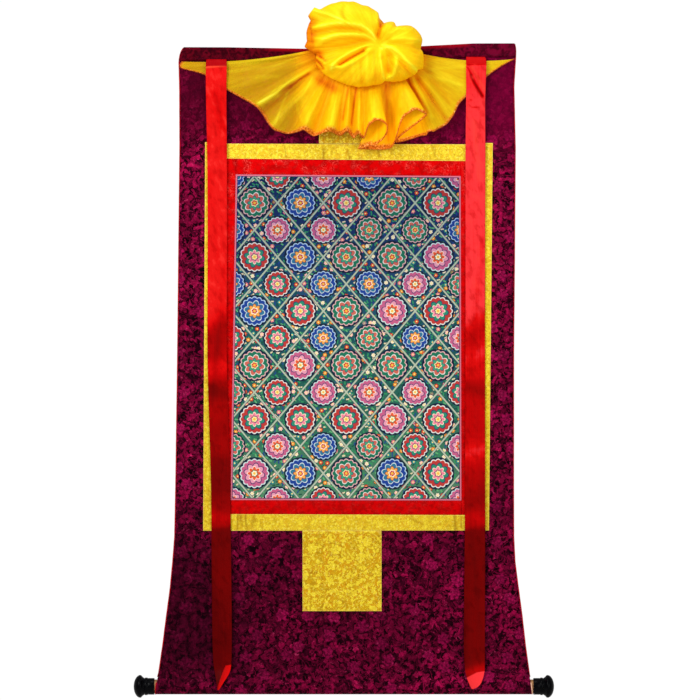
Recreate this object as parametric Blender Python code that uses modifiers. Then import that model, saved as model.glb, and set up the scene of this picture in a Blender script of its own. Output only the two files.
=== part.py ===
"""Thangka scroll painting, hung on a wall.

A maroon brocade mount carries a framed picture panel, a silk veil gathered into a rosette,
two hanging ribbons, and a roller rod with turned knobs in its bottom sleeve.

Metres. +X is right, +Z is up, and the viewer stands at -Y. The origin is the middle of the
top hem, on the flat back face that lies on the wall. Heights are given as a drop below the
top edge, and a depth is a distance forward of the mount's front face.
"""

import math
from typing import NamedTuple

import bpy
import numpy as np
from mathutils import Vector

# Sheets and gaps
MOUNT_SHEET = 0.0015
STRIP_SHEET = 0.0012
VEIL_SHEET = 0.0012
RIBBON_SHEET = 0.0010
GAP = 0.0003

# Top hem: the mount folded forward into a flat pocket
HEM_DROP = 0.027
HEM_POCKET = 0.0026
HEM_LIP = 0.006
HEM_LIP_GAP = 0.0004

# Roller rod, its sleeve and its knobs
ROD_DROP = 1.252
ROD_RADIUS = 0.0134
SLEEVE_RADIUS = 0.0155
SLEEVE_SEAM_DROP = 1.225
NECK_RADIUS = 0.0162
BUTTON_RADIUS = 0.0222
SPIGOT_RADIUS = 0.006
SPIGOT_LENGTH = 0.016
ROD_END_LEFT = -0.3740
ROD_END_RIGHT = 0.3656

# The mount hangs with its hem and its knobs on the wall, so it leans out by this much
ROD_AXIS_FROM_WALL = BUTTON_RADIUS
LEAN = math.atan((ROD_AXIS_FROM_WALL - MOUNT_SHEET / 2) / (SLEEVE_SEAM_DROP - HEM_DROP))

# Piping down the sides and round the sleeve's ends
PIPING_RADIUS = 0.0012
PIPING_BAND = 2 * PIPING_RADIUS + GAP

# Across the mount, for its uneven top edge
MOUNT_COLUMNS = 9
SLEEVE_STEPS = 14
HEM_STEPS = 5
TURNED_STEPS = 32


class Outline(NamedTuple):
    """The mount's left and right edges, piping included, at one height."""

    drop: float
    left: float
    right: float


MOUNT_OUTLINE = (
    Outline(0.000, -0.3190, 0.3315),
    Outline(0.012, -0.3260, 0.3340),
    Outline(0.027, -0.3285, 0.3335),
    Outline(0.080, -0.3270, 0.3300),
    Outline(0.200, -0.3265, 0.3326),
    Outline(0.400, -0.3285, 0.3310),
    Outline(0.600, -0.3305, 0.3290),
    Outline(0.860, -0.3340, 0.3287),
    Outline(0.960, -0.3360, 0.3290),
    Outline(1.010, -0.3400, 0.3315),
    Outline(1.060, -0.3447, 0.3380),
    Outline(1.110, -0.3514, 0.3447),
    Outline(1.170, -0.3590, 0.3515),
    Outline(1.225, -0.3670, 0.3590),
    Outline(1.240, -0.3710, 0.3615),
    Outline(1.268, -0.3737, 0.3653),
)


class Rise(NamedTuple):
    """How far the top edge stands above its nominal height, at one place across."""

    x: float
    rise: float


TOP_EDGE = (
    Rise(-0.330, -0.0015),
    Rise(-0.230, -0.0018),
    Rise(-0.080, -0.0045),
    Rise(0.020, -0.0030),
    Rise(0.150, 0.0006),
    Rise(0.220, 0.0042),
    Rise(0.250, 0.0058),
    Rise(0.335, 0.0060),
)
TOP_EDGE_REACH = 0.100


class Frame(NamedTuple):
    """A border line, as the corners of a slightly uneven rectangle."""

    top: float
    bottom: float
    left_top: float
    left_bottom: float
    right_top: float
    right_bottom: float


OUTER_LINE = Frame(0.1910, 0.9480, -0.2760, -0.2790, 0.2875, 0.2800)
MIDDLE_LINE = Frame(0.2230, 0.9165, -0.2500, -0.2535, 0.2570, 0.2515)
PICTURE_LINE = Frame(0.2535, 0.8890, -0.2240, -0.2240, 0.2250, 0.2250)
SIDE_STRIP_RISE = 0.0025

# Square door panels: top, bottom, left and right
TAB_BOTTOM = (0.9480, 1.1055, -0.0850, 0.0695)
TAB_TOP = (0.1250, 0.1910, -0.0530, 0.0860)


class RibbonRow(NamedTuple):
    """A ribbon's edges at one height, the depth of its middle, and its right edge's lead."""

    drop: float
    left: float
    right: float
    depth: float
    turn: float


RIBBON_LEFT = (
    RibbonRow(0.0258, -0.2730, -0.2340, 0.0052, 0.0000),
    RibbonRow(0.0400, -0.2743, -0.2332, 0.0125, 0.0000),
    RibbonRow(0.1060, -0.2739, -0.2338, 0.0120, 0.0010),
    RibbonRow(0.2100, -0.2718, -0.2330, 0.0070, 0.0020),
    RibbonRow(0.3300, -0.2708, -0.2326, 0.0058, -0.0015),
    RibbonRow(0.4770, -0.2708, -0.2328, 0.0052, 0.0010),
    RibbonRow(0.6140, -0.2708, -0.2330, 0.0058, 0.0020),
    RibbonRow(0.7510, -0.2670, -0.2290, 0.0060, -0.0010),
    RibbonRow(0.8490, -0.2641, -0.2260, 0.0054, -0.0020),
    RibbonRow(0.9470, -0.2630, -0.2250, 0.0060, 0.0010),
    RibbonRow(1.1230, -0.2616, -0.2230, 0.0050, 0.0020),
    RibbonRow(1.2010, -0.2594, -0.2236, 0.0056, 0.0020),
    RibbonRow(1.2250, -0.2560, -0.2262, 0.0090, 0.0030),
    RibbonRow(1.2400, -0.2535, -0.2330, 0.0140, 0.0030),
    RibbonRow(1.2580, -0.2505, -0.2450, 0.0178, 0.0010),
)
RIBBON_RIGHT = (
    RibbonRow(0.0210, 0.2354, 0.2720, 0.0052, 0.0000),
    RibbonRow(0.0360, 0.2348, 0.2749, 0.0120, 0.0020),
    RibbonRow(0.1060, 0.2348, 0.2725, 0.0115, -0.0030),
    RibbonRow(0.2100, 0.2338, 0.2729, 0.0072, 0.0010),
    RibbonRow(0.3400, 0.2338, 0.2724, 0.0056, 0.0020),
    RibbonRow(0.4970, 0.2338, 0.2720, 0.0052, -0.0010),
    RibbonRow(0.6930, 0.2333, 0.2720, 0.0058, -0.0020),
    RibbonRow(0.8490, 0.2328, 0.2720, 0.0054, 0.0010),
    RibbonRow(0.9470, 0.2320, 0.2720, 0.0060, 0.0020),
    RibbonRow(1.1620, 0.2300, 0.2714, 0.0052, 0.0000),
    RibbonRow(1.2110, 0.2315, 0.2710, 0.0062, -0.0010),
    RibbonRow(1.2250, 0.2330, 0.2700, 0.0095, -0.0020),
    RibbonRow(1.2400, 0.2375, 0.2655, 0.0145, -0.0020),
    RibbonRow(1.2560, 0.2445, 0.2535, 0.0180, -0.0010),
)
RIBBON_CELLS = 4


class Fold(NamedTuple):
    """One fold line of the veil, in millimetres.

    It starts at the pinch, rises over the rosette to its crown, turns under at the rim, and
    from there hangs out to the hem, past a belly about half way.
    """

    rim_x: float
    rim_drop: float
    crown: float
    hem_x: float
    hem_drop: float
    belly: float
    hem_depth: float


LEFT_WING = (
    Fold(-82, 6, 46, -321, 30, 8, 1.2),
    Fold(-80, 12, 52, -323, 42, 9, 2),
    Fold(-79, 18, 42, -278, 55, 8, 3),
    Fold(-76, 25, 54, -235, 84, 15, 8),
    Fold(-72, 31, 46, -197, 105, 12, 6),
    Fold(-68, 37, 60, -174, 121, 26, 20),
    Fold(-64, 42, 52, -160, 139, 14, 9),
    Fold(-60, 46, 62, -143, 162, 26, 22),
    Fold(-54, 51, 54, -113, 172, 17, 14),
)
SKIRT = (
    Fold(-47, 56, 74, -84, 167, 33, 35),
    Fold(-38, 61, 58, -62, 176, 20, 19),
    Fold(-27, 67, 68, -32, 170, 36, 43),
    Fold(-16, 72, 60, -14, 178, 24, 24),
    Fold(-5, 77, 68, 1, 166, 35, 40),
    Fold(6, 80, 60, 13, 182, 21, 23),
    Fold(17, 82, 68, 25, 174, 35, 42),
    Fold(28, 82, 60, 36, 183, 28, 36),
    Fold(39, 82, 66, 44, 160, 40, 50),
    Fold(50, 81, 70, 61, 149, 45, 61),
    Fold(62, 79, 60, 80, 162, 42, 55),
    Fold(73, 76, 56, 72, 186, 32, 42),
    Fold(81, 75, 58, 46, 197, 18, 26),
    Fold(88, 74, 58, 24, 202, 12, 17),
    Fold(95, 73, 62, 78, 203, 8, 9),
    Fold(102, 71, 66, 95, 190, 20, 20),
    Fold(108, 68, 72, 108, 150, 37, 43),
    Fold(114, 66, 78, 131, 130, 43, 53),
    Fold(119, 64, 78, 156, 140, 38, 45),
)
RIGHT_WING = (
    Fold(123, 62, 74, 105, 183, 8, 16),
    Fold(127, 60, 66, 147, 176, 5, 8),
    Fold(131, 58, 60, 160, 171, 11, 15),
    Fold(135, 56, 64, 174, 166, 19, 24),
    Fold(139, 53, 60, 195, 153, 12, 12),
    Fold(144, 50, 68, 208, 139, 22, 18),
    Fold(148, 45, 62, 221, 113, 11, 8),
    Fold(150, 39, 70, 242, 92, 14, 8),
    Fold(152, 32, 62, 274, 60, 9, 4.5),
    Fold(153, 24, 68, 305, 38, 8, 2.5),
    Fold(153, 15, 62, 329, 25, 8, 1.4),
)


class Crown(NamedTuple):
    """One fold line over the top of the rosette, in millimetres, which goes down behind it."""

    rim_x: float
    rim_drop: float
    crown: float
    belly: float = 18


ROSETTE_TOP = (
    Crown(152, 2, 68),
    Crown(148, -12, 58),
    Crown(138, -27, 68),
    Crown(122, -35, 58),
    Crown(102, -39, 66),
    Crown(80, -45, 50),
    Crown(65, -60, 64),
    Crown(47, -71, 58),
    Crown(23, -79, 72),
    Crown(0, -83, 62),
    Crown(-23, -79, 78),
    Crown(-45, -73, 66),
    Crown(-61, -67, 76),
    Crown(-71, -53, 58),
    Crown(-75, -38, 70),
    Crown(-77, -23, 56),
    Crown(-80, -9, 64),
)

# The rosette from its pinch out over the crown, round the rim and back under to its neck
PINCH = Vector((0.0626, 0.0, -0.002))
PINCH_DEPTH = 0.044

# A fold stands at this depth at the neck, or somewhat behind it when its belly lies back
NECK_DEPTH = 0.018
NECK_LEAD_SHARE = 0.25
NECK_LEAD_BACK = 0.004


class Station(NamedTuple):
    """A place along a fold line on the rosette, as shares.

    It holds the share of the reach to the rim, the share of the rise to the crown, and how
    much of the fold's own height shows there: near the pinch the folds run together.
    """

    reach: float
    rise: float
    own: float


MEAN_CROWN = 0.062
ROSETTE_PROFILE = (
    Station(0.20, 0.66, 0.30),
    Station(0.36, 0.84, 0.70),
    Station(0.54, 0.98, 1.00),
    Station(0.71, 0.97, 1.00),
    Station(0.85, 0.82, 1.00),
    Station(0.95, 0.60, 1.00),
    Station(1.00, 0.40, 0.80),
    Station(0.98, 0.26, 0.60),
    Station(0.91, 0.15, 0.40),
)
NECK_REACH = 0.80

# Stations from the neck to the hem, and down behind the rosette to the seam
FALL_SHARES = (0.00, 0.06, 0.15, 0.30, 0.48, 0.66, 0.83, 1.00)
UNDER_RIM_SHARE = 0.16
BELLY_SHARE = 0.5
BACK_MIDDLE_DEPTH = 0.0110
BACK_LIP = (0.0220, 0.0064)
BACK_HEM = (0.0315, 0.0016)
WING_SAGS = (0.009, 0.0055, 0.0015)


# ---------------------------------------------------------------------------- helpers


def material(name, color, roughness, metallic=0.0):
    """A Principled material of one colour, given as an sRGB hex number."""
    made = bpy.data.materials.new(name)
    made.use_nodes = True
    shader = made.node_tree.nodes["Principled BSDF"]
    srgb = [((color >> shift) & 255) / 255 for shift in (16, 8, 0)]
    shader.inputs["Base Color"].default_value = (*[value**2.2 for value in srgb], 1.0)
    shader.inputs["Roughness"].default_value = roughness
    shader.inputs["Metallic"].default_value = metallic
    return made


class Workshop:
    """The scroll's collection, and the leaning frame that its front pieces hang in."""

    def __init__(self):
        for old in list(bpy.data.objects):
            bpy.data.objects.remove(old, do_unlink=True)
        self.collection = bpy.data.collections.new("thangka_scroll")
        bpy.context.scene.collection.children.link(self.collection)
        self.leaning = bpy.data.objects.new("leaning_frame", None)
        self.leaning.location = (0, 0, -HEM_DROP)
        self.leaning.rotation_euler = (-LEAN, 0, 0)
        self.collection.objects.link(self.leaning)

    def add(self, obj, finish, leaning=False):
        """Link an object, finish it, and hang it in the leaning frame if it is asked."""
        self.collection.objects.link(obj)
        obj.data.materials.append(finish)
        if leaning:
            obj.parent = self.leaning
            obj.location = (0, 0, HEM_DROP)
        return obj

    def mesh(self, name, points, faces, finish, leaning=False):
        """A named object from points and faces, shaded smooth."""
        data = bpy.data.meshes.new(name)
        data.from_pydata([tuple(point) for point in points], [], faces)
        data.validate()
        data.shade_smooth()
        return self.add(bpy.data.objects.new(name, data), finish, leaning)


def thicken(obj, thickness, even=False):
    """Give an open sheet its thickness, half to each side."""
    solid = obj.modifiers.new("thickness", "SOLIDIFY")
    solid.thickness = thickness
    solid.offset = 0
    solid.use_even_offset = even
    return obj


def hung(x, drop, depth):
    """A point of the leaning frame, by its drop and its depth before the mount's front."""
    return Vector((x, -MOUNT_SHEET - depth, -drop))


def refined(points, closed=False):
    """Put a point between each two of a row by the four-point rule, which keeps the row's own."""
    points = np.asarray(points, float)
    if closed:
        ring = np.concatenate([points[-1:], points, points[:2]])
    else:
        before = 2 * points[:1] - points[1:2]
        after = 2 * points[-1:] - points[-2:-1]
        ring = np.concatenate([before, points, after])
    middles = (9 * (ring[1:-2] + ring[2:-1]) - ring[:-3] - ring[3:]) / 16
    both = np.empty((len(points) + len(middles), points.shape[1]))
    both[0::2] = points
    both[1::2] = middles
    return both


class Sheet:
    """The points and faces of one open sheet, added row by row."""

    def __init__(self):
        self.points = []
        self.faces = []

    def add(self, places):
        """Add a row of points, and give back their numbers."""
        first = len(self.points)
        self.points.extend(places)
        return list(range(first, len(self.points)))

    def join(self, near, far):
        """Quads between two rows of as many points."""
        for i in range(len(near) - 1):
            self.faces.append((near[i], near[i + 1], far[i + 1], far[i]))

    def join_twice(self, near, far):
        """Triangles between a closed row and one of twice its points."""
        count = len(near)
        for i in range(count):
            here, beside = near[i], near[(i + 1) % count]
            start, middle, end = far[2 * i], far[2 * i + 1], far[(2 * i + 2) % (2 * count)]
            self.faces += [(here, beside, middle), (beside, end, middle), (here, middle, start)]


def tube(shop, name, path, radius, finish):
    """A round cord along a path: a poly curve with filled caps."""
    data = bpy.data.curves.new(name, "CURVE")
    data.dimensions = "3D"
    data.bevel_depth = radius
    data.bevel_resolution = 2
    data.use_fill_caps = True
    spline = data.splines.new("POLY")
    spline.points.add(len(path) - 1)
    for point, place in zip(spline.points, path):
        point.co = (*place, 1)
    return shop.add(bpy.data.objects.new(name, data), finish)


def flat_piece(shop, name, corners, finish):
    """A flat cloth piece on the mount, from its corners as (x, drop)."""
    data = bpy.data.curves.new(name, "CURVE")
    data.dimensions = "2D"
    data.fill_mode = "BOTH"
    data.extrude = STRIP_SHEET / 2
    spline = data.splines.new("POLY")
    spline.points.add(len(corners) - 1)
    spline.use_cyclic_u = True
    for point, (x, drop) in zip(spline.points, corners):
        point.co = (x, -drop, 0, 1)
    obj = shop.add(bpy.data.objects.new(name, data), finish, leaning=True)
    obj.rotation_euler = (math.radians(90), 0, 0)
    obj.location += Vector((0, -MOUNT_SHEET - GAP - STRIP_SHEET / 2, 0))
    return obj


def turned(shop, name, profile, finish):
    """A turned piece from a profile of (distance along the axis, radius), top to bottom."""
    points = [(radius, 0, along) for along, radius in profile]
    edges = [(i, i + 1) for i in range(len(points) - 1)]
    data = bpy.data.meshes.new(name)
    data.from_pydata(points, edges, [])
    obj = shop.add(bpy.data.objects.new(name, data), finish)
    screw = obj.modifiers.new("turning", "SCREW")
    screw.steps = TURNED_STEPS
    screw.render_steps = TURNED_STEPS
    screw.use_merge_vertices = True
    screw.merge_threshold = 0.00005
    screw.use_smooth_shade = True
    return obj


# ---------------------------------------------------------------------------- the mount


def edge_at(drop):
    """The mount's left and right edges at a height, piping included."""
    drops = [row.drop for row in MOUNT_OUTLINE]
    left = np.interp(drop, drops, [row.left for row in MOUNT_OUTLINE])
    right = np.interp(drop, drops, [row.right for row in MOUNT_OUTLINE])
    return left, right


def rise_at(x, drop):
    """How far the uneven top edge lifts the cloth at a place near it."""
    rise = np.interp(x, [row.x for row in TOP_EDGE], [row.rise for row in TOP_EDGE])
    return rise * max(0.0, 1 - max(0.0, drop - HEM_DROP) / TOP_EDGE_REACH)


def offset_at(drop):
    """How far the mount's middle plane stands from the wall at a height."""
    return MOUNT_SHEET / 2 + max(0.0, drop - HEM_DROP) * math.tan(LEAN)


def sleeve_path():
    """The sleeve from its seam, down before the rod, round it and up behind it.

    Each point is (distance from the wall, drop). The rod pulls the two layers above it
    into straight legs, which meet the round part on a tangent.
    """
    radius = SLEEVE_RADIUS - MOUNT_SHEET / 2
    tangent = math.acos(radius / (ROD_DROP - SLEEVE_SEAM_DROP))
    path = []
    for step in range(SLEEVE_STEPS + 1):
        angle = tangent + (2 * math.pi - 2 * tangent) * step / SLEEVE_STEPS
        out = ROD_AXIS_FROM_WALL + radius * math.sin(angle)
        path.append((out, ROD_DROP - radius * math.cos(angle)))
    seam_gap = MOUNT_SHEET + HEM_LIP_GAP
    path.append((ROD_AXIS_FROM_WALL - seam_gap, SLEEVE_SEAM_DROP + 2 * MOUNT_SHEET))
    return path


def mount_section():
    """The mount's section, from the lip of its top hem to the end of its sleeve."""
    back = MOUNT_SHEET / 2
    front = back + MOUNT_SHEET + HEM_POCKET
    fold = (front - back) / 2
    path = [
        (back + MOUNT_SHEET + HEM_LIP_GAP, HEM_DROP),
        (front, HEM_DROP - HEM_LIP),
        (front, 0.012),
    ]
    for step in range(HEM_STEPS + 1):
        angle = math.pi * step / HEM_STEPS
        path.append((back + fold + fold * math.cos(angle), fold + back - fold * math.sin(angle)))
    path.append((back, 0.012))
    path.append((back, HEM_DROP))
    for row in MOUNT_OUTLINE:
        if HEM_DROP < row.drop <= SLEEVE_SEAM_DROP:
            path.append((offset_at(row.drop), row.drop))
    return path + sleeve_path()


def build_mount(shop):
    """The brocade cloth, one sheet with its hem, its flare and its sleeve."""
    sheet = Sheet()
    above = None
    for out, drop in mount_section():
        left, right = edge_at(drop)
        row = []
        for x in np.linspace(left + PIPING_BAND, right - PIPING_BAND, MOUNT_COLUMNS):
            row.append((x, -out, rise_at(x, drop) - drop))
        below = sheet.add(row)
        if above:
            sheet.join(above, below)
        above = below
    brocade = material("maroon_brocade", 0x5A0A35, 0.55)
    mount = shop.mesh("brocade_mount", sheet.points, sheet.faces, brocade)
    thicken(mount, MOUNT_SHEET, even=True)


def build_piping(shop):
    """The red piping down the side edges, and the bound ends of the rod sleeve."""
    red = material("red_piping", 0xB80A18, 0.5)
    cream = material("cream_binding", 0xF0C0A8, 0.6)
    inset = PIPING_RADIUS
    end_gap = PIPING_RADIUS + GAP
    lowest = ROD_DROP - SLEEVE_RADIUS - 2 * end_gap
    drops = [row.drop for row in MOUNT_OUTLINE if row.drop < lowest]
    drops[0] = PIPING_RADIUS
    drops.append(lowest)
    legs = sleeve_path()[:-1]
    for side, name in enumerate(("left", "right")):
        inward = (inset, -inset)[side]
        path = []
        for drop in drops:
            x = edge_at(drop)[side] + inward
            path.append((x, -offset_at(drop), rise_at(x, drop) - drop))
        tube(shop, f"edge_binding_{name}", path, PIPING_RADIUS, red)
        ring = []
        for out, drop in legs:
            ring.append((edge_at(drop)[side] + inward, -out, -drop))
        tube(shop, f"sleeve_binding_{name}", ring, PIPING_RADIUS, (red, cream)[side])


# ---------------------------------------------------------------------------- the border


def frame_edge(frame, side, drop):
    """Where a border line's left or right edge is at a height, also past its corners."""
    top, bottom = {
        "left": (frame.left_top, frame.left_bottom),
        "right": (frame.right_top, frame.right_bottom),
    }[side]
    return top + (bottom - top) * (drop - frame.top) / (frame.bottom - frame.top)


def build_border(shop, color, outer, inner, side_rise, finish):
    """Four strips between two border lines: the side strips run past the top and bottom."""
    half = GAP / 2
    for side, inward in (("left", half), ("right", -half)):
        top = outer.top + half - side_rise
        bottom = outer.bottom - half
        corners = [
            (frame_edge(outer, side, top) + inward, top),
            (frame_edge(inner, side, top) - inward, top),
            (frame_edge(inner, side, bottom) - inward, bottom),
            (frame_edge(outer, side, bottom) + inward, bottom),
        ]
        flat_piece(shop, f"{color}_strip_{side}", corners, finish)
    for name, top, bottom in (
        ("top", outer.top + half, inner.top - half),
        ("bottom", inner.bottom + half, outer.bottom - half),
    ):
        corners = [
            (frame_edge(inner, "left", top) + half, top),
            (frame_edge(inner, "right", top) - half, top),
            (frame_edge(inner, "right", bottom) - half, bottom),
            (frame_edge(inner, "left", bottom) + half, bottom),
        ]
        flat_piece(shop, f"{color}_strip_{name}", corners, finish)


def build_picture(shop):
    """The painted cloth inside both borders, and the square door panels."""
    half = GAP / 2
    line = PICTURE_LINE
    corners = [
        (line.left_top + half, line.top + half),
        (line.right_top - half, line.top + half),
        (line.right_bottom - half, line.bottom - half),
        (line.left_bottom + half, line.bottom - half),
    ]
    flat_piece(shop, "picture_panel", corners, material("painted_cloth", 0x1D3A6E, 0.7))
    tab_cloth = material("tab_brocade", 0xE8C020, 0.5)
    for name, place in (("bottom", TAB_BOTTOM), ("top", TAB_TOP)):
        top, bottom, left, right = place
        top, bottom = top + half, bottom - half
        corners = [(left, top), (right, top), (right, bottom), (left, bottom)]
        flat_piece(shop, f"yellow_tab_{name}", corners, tab_cloth)


# ---------------------------------------------------------------------------- the ribbons


def build_ribbon(shop, name, rows, finish):
    """A satin ribbon, sewn on under the top hem and hanging free to its pointed end."""
    sheet = Sheet()
    above = None
    for drop, left, right, depth, turn in refined(rows):
        row = []
        for share in np.linspace(0, 1, RIBBON_CELLS + 1):
            x = left + (right - left) * share
            row.append(hung(x, drop, depth + turn * (share - 0.5)))
        below = sheet.add(row)
        if above:
            sheet.join(above, below)
        above = below
    ribbon = shop.mesh(name, sheet.points, sheet.faces, finish, leaning=True)
    thicken(ribbon, RIBBON_SHEET)


# ---------------------------------------------------------------------------- the veil


def point_towards_rim(fold, reach, depth):
    """A point of a fold line between the pinch and the rim, in metres."""
    rim = hung(fold.rim_x / 1000, fold.rim_drop / 1000, 0)
    place = PINCH + (rim - PINCH) * reach
    return hung(place.x, -place.z, depth)


def rosette_point(fold, station):
    """A point of the rosette on one fold line."""
    crown = MEAN_CROWN + (fold.crown / 1000 - MEAN_CROWN) * station.own
    depth = NECK_DEPTH + (crown - NECK_DEPTH) * station.rise
    return point_towards_rim(fold, station.reach, depth)


def neck_depth(fold):
    """How far forward a fold line stands at the rosette's neck."""
    lead = (fold.belly / 1000 - NECK_DEPTH) * NECK_LEAD_SHARE
    return NECK_DEPTH + min(max(lead, -NECK_LEAD_BACK), 0)


def wing_sag(fold):
    """How far a fold line sags half way: a wing's upper edge does so the most."""
    for i, sag in enumerate(WING_SAGS):
        if fold in (LEFT_WING[i], RIGHT_WING[-1 - i]):
            return sag
    return 0.0


def fall_point(fold, share):
    """A point of a wing or of the skirt, at a share of the way from the neck to the hem."""
    neck = neck_depth(fold)
    start = point_towards_rim(fold, NECK_REACH, neck)
    x = start.x + (fold.hem_x / 1000 - start.x) * share
    drop = -start.z + (fold.hem_drop / 1000 + start.z) * share
    drop += wing_sag(fold) * 4 * share * (1 - share)
    belly = fold.belly / 1000
    straight = neck + (belly - neck) * UNDER_RIM_SHARE / BELLY_SHARE
    depths = (neck, min(straight, NECK_DEPTH), belly, fold.hem_depth / 1000)
    return hung(x, drop, np.interp(share, (0, UNDER_RIM_SHARE, BELLY_SHARE, 1), depths))


def back_point(fold, place):
    """A point of the sheet behind the rosette, which passes the hem's lip to the seam."""
    start = point_towards_rim(fold, NECK_REACH, NECK_DEPTH)
    neck = (-start.z, NECK_DEPTH)
    middle = ((BACK_LIP[0] - start.z) / 2, BACK_MIDDLE_DEPTH)
    drop, depth = (neck, middle, BACK_LIP, BACK_HEM)[place]
    return hung(start.x, drop - rise_at(start.x, drop), depth)


def build_veil(shop):
    """The silk cover, one gathered sheet: rosette, wings and skirt, and the part behind."""
    hanging = LEFT_WING + SKIRT + RIGHT_WING
    folds = hanging + ROSETTE_TOP
    sheet = Sheet()
    pinch = sheet.add([hung(PINCH.x, -PINCH.z, PINCH_DEPTH)])[0]
    first, second, *others = ROSETTE_PROFILE
    ring = sheet.add([rosette_point(fold, first) for fold in folds[::2]])
    for i, point in enumerate(ring):
        sheet.faces.append((pinch, ring[(i + 1) % len(ring)], point))
    wider = sheet.add([rosette_point(fold, second) for fold in folds])
    sheet.join_twice(ring, wider)
    ring = wider
    for station in others:
        places = refined([rosette_point(fold, station) for fold in folds], closed=True)
        wider = sheet.add(places)
        if len(wider) > len(ring):
            sheet.join_twice(ring, wider)
        else:
            sheet.join(ring + ring[:1], wider + wider[:1])
        ring = wider

    # The wings and the skirt hang from the rim apart from the sheet behind, with a slit between
    hangs = (
        (0, hanging, FALL_SHARES, fall_point),
        (len(hanging), ROSETTE_TOP, range(4), back_point),
    )
    for start, rows, steps, place in hangs:
        above = ring[2 * start : 2 * (start + len(rows)) - 1]
        for step in steps:
            below = sheet.add(refined([place(fold, step) for fold in rows]))
            sheet.join(above, below)
            above = below
    silk = material("yellow_silk", 0xF5C400, 0.35)
    veil = shop.mesh("veil", sheet.points, sheet.faces, silk, leaning=True)
    thicken(veil, VEIL_SHEET)


# ---------------------------------------------------------------------------- the roller


def knob_profile():
    """A knob from the tip of its dome to the foot of its socket, as (along, radius)."""
    dome = 0.0130
    widest = 0.0275
    profile = []
    for step in range(6):
        angle = math.pi / 2 * (1 - step / 5)
        profile.append((widest + dome * math.sin(angle), BUTTON_RADIUS * math.cos(angle)))
    profile[0] = (widest + dome, 0.0)
    profile += [
        (0.0250, 0.0210),
        (0.0220, 0.0182),
        (0.0196, 0.0164),
        (0.0150, 0.0168),
        (0.0105, NECK_RADIUS),
        (0.0008, NECK_RADIUS),
        (0.0000, NECK_RADIUS - 0.0008),
        (0.0000, SPIGOT_RADIUS + GAP),
        (SPIGOT_LENGTH + 0.001, SPIGOT_RADIUS + GAP),
        (SPIGOT_LENGTH + 0.001, 0.0),
    ]
    return profile


def build_roller(shop):
    """The rod through the sleeve, and a knob on the spigot at each of its ends."""
    length = ROD_END_RIGHT - ROD_END_LEFT
    middle = (ROD_END_RIGHT + ROD_END_LEFT) / 2
    half = length / 2
    rod_profile = [
        (half + SPIGOT_LENGTH, 0.0),
        (half + SPIGOT_LENGTH, SPIGOT_RADIUS),
        (half, SPIGOT_RADIUS),
        (half, ROD_RADIUS),
        (-half, ROD_RADIUS),
        (-half, SPIGOT_RADIUS),
        (-half - SPIGOT_LENGTH, SPIGOT_RADIUS),
        (-half - SPIGOT_LENGTH, 0.0),
    ]
    wood = material("plain_wood", 0x8A5A30, 0.7)
    lacquer = material("black_lacquer", 0x0C0C10, 0.12)
    rod = turned(shop, "roller_rod", rod_profile, wood)
    rod.location = (middle, -ROD_AXIS_FROM_WALL, -ROD_DROP)
    rod.rotation_euler = (0, math.radians(90), 0)
    for name, end, way in (("left", ROD_END_LEFT - GAP, -90), ("right", ROD_END_RIGHT + GAP, 90)):
        knob = turned(shop, f"roller_knob_{name}", knob_profile(), lacquer)
        knob.location = (end, -ROD_AXIS_FROM_WALL, -ROD_DROP)
        knob.rotation_euler = (0, math.radians(way), 0)


def main():
    """Build the whole scroll."""
    shop = Workshop()
    build_mount(shop)
    build_piping(shop)
    yellow = material("yellow_brocade", 0xF0CC28, 0.5)
    red = material("red_brocade", 0xD00808, 0.5)
    build_border(shop, "yellow", OUTER_LINE, MIDDLE_LINE, SIDE_STRIP_RISE, yellow)
    build_border(shop, "red", MIDDLE_LINE, PICTURE_LINE, 0.0, red)
    build_picture(shop)
    satin = material("red_satin", 0xD80C0C, 0.3)
    build_ribbon(shop, "ribbon_left", RIBBON_LEFT, satin)
    build_ribbon(shop, "ribbon_right", RIBBON_RIGHT, satin)
    build_veil(shop)
    build_roller(shop)


main()
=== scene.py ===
"""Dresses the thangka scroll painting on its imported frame.

Metres, in the frame's own axes: +X is the viewer's right, +Z is up, and the wall is at y = 0.
A drop is a height below the top edge, and a depth is a distance before the mount's front face.
"""

import logging
import math
from collections.abc import Callable, Mapping, Sequence
from dataclasses import dataclass
from enum import Enum
from typing import Any, NamedTuple

import bmesh
import bpy
import numpy as np
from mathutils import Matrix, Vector


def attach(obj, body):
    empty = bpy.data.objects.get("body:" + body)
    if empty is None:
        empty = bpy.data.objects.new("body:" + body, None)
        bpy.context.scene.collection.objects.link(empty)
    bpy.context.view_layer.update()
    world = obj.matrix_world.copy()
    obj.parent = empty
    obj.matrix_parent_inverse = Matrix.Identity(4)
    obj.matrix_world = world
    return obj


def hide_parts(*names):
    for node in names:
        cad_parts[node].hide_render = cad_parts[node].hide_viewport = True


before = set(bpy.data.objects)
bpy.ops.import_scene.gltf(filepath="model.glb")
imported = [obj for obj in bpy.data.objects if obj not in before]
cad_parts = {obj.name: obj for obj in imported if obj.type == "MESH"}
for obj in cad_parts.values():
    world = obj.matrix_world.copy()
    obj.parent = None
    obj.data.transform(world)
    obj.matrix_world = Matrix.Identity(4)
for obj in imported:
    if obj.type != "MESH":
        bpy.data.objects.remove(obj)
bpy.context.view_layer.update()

LOG = logging.getLogger("scroll")
BODY = "root"
TAU = 2 * math.pi

Color = tuple[float, float, float, float]
Points = np.ndarray


class Slot(Enum):
    """The record's material slots."""

    MAROON = "maroon_brocade"
    PIPING = "red_piping"
    CREAM = "cream_binding"
    YELLOW = "yellow_brocade"
    RED = "red_brocade"
    PAINTED = "painted_cloth"
    SILK = "yellow_silk"
    SATIN = "red_satin"
    WOOD = "plain_wood"
    LACQUER = "black_lacquer"


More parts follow.
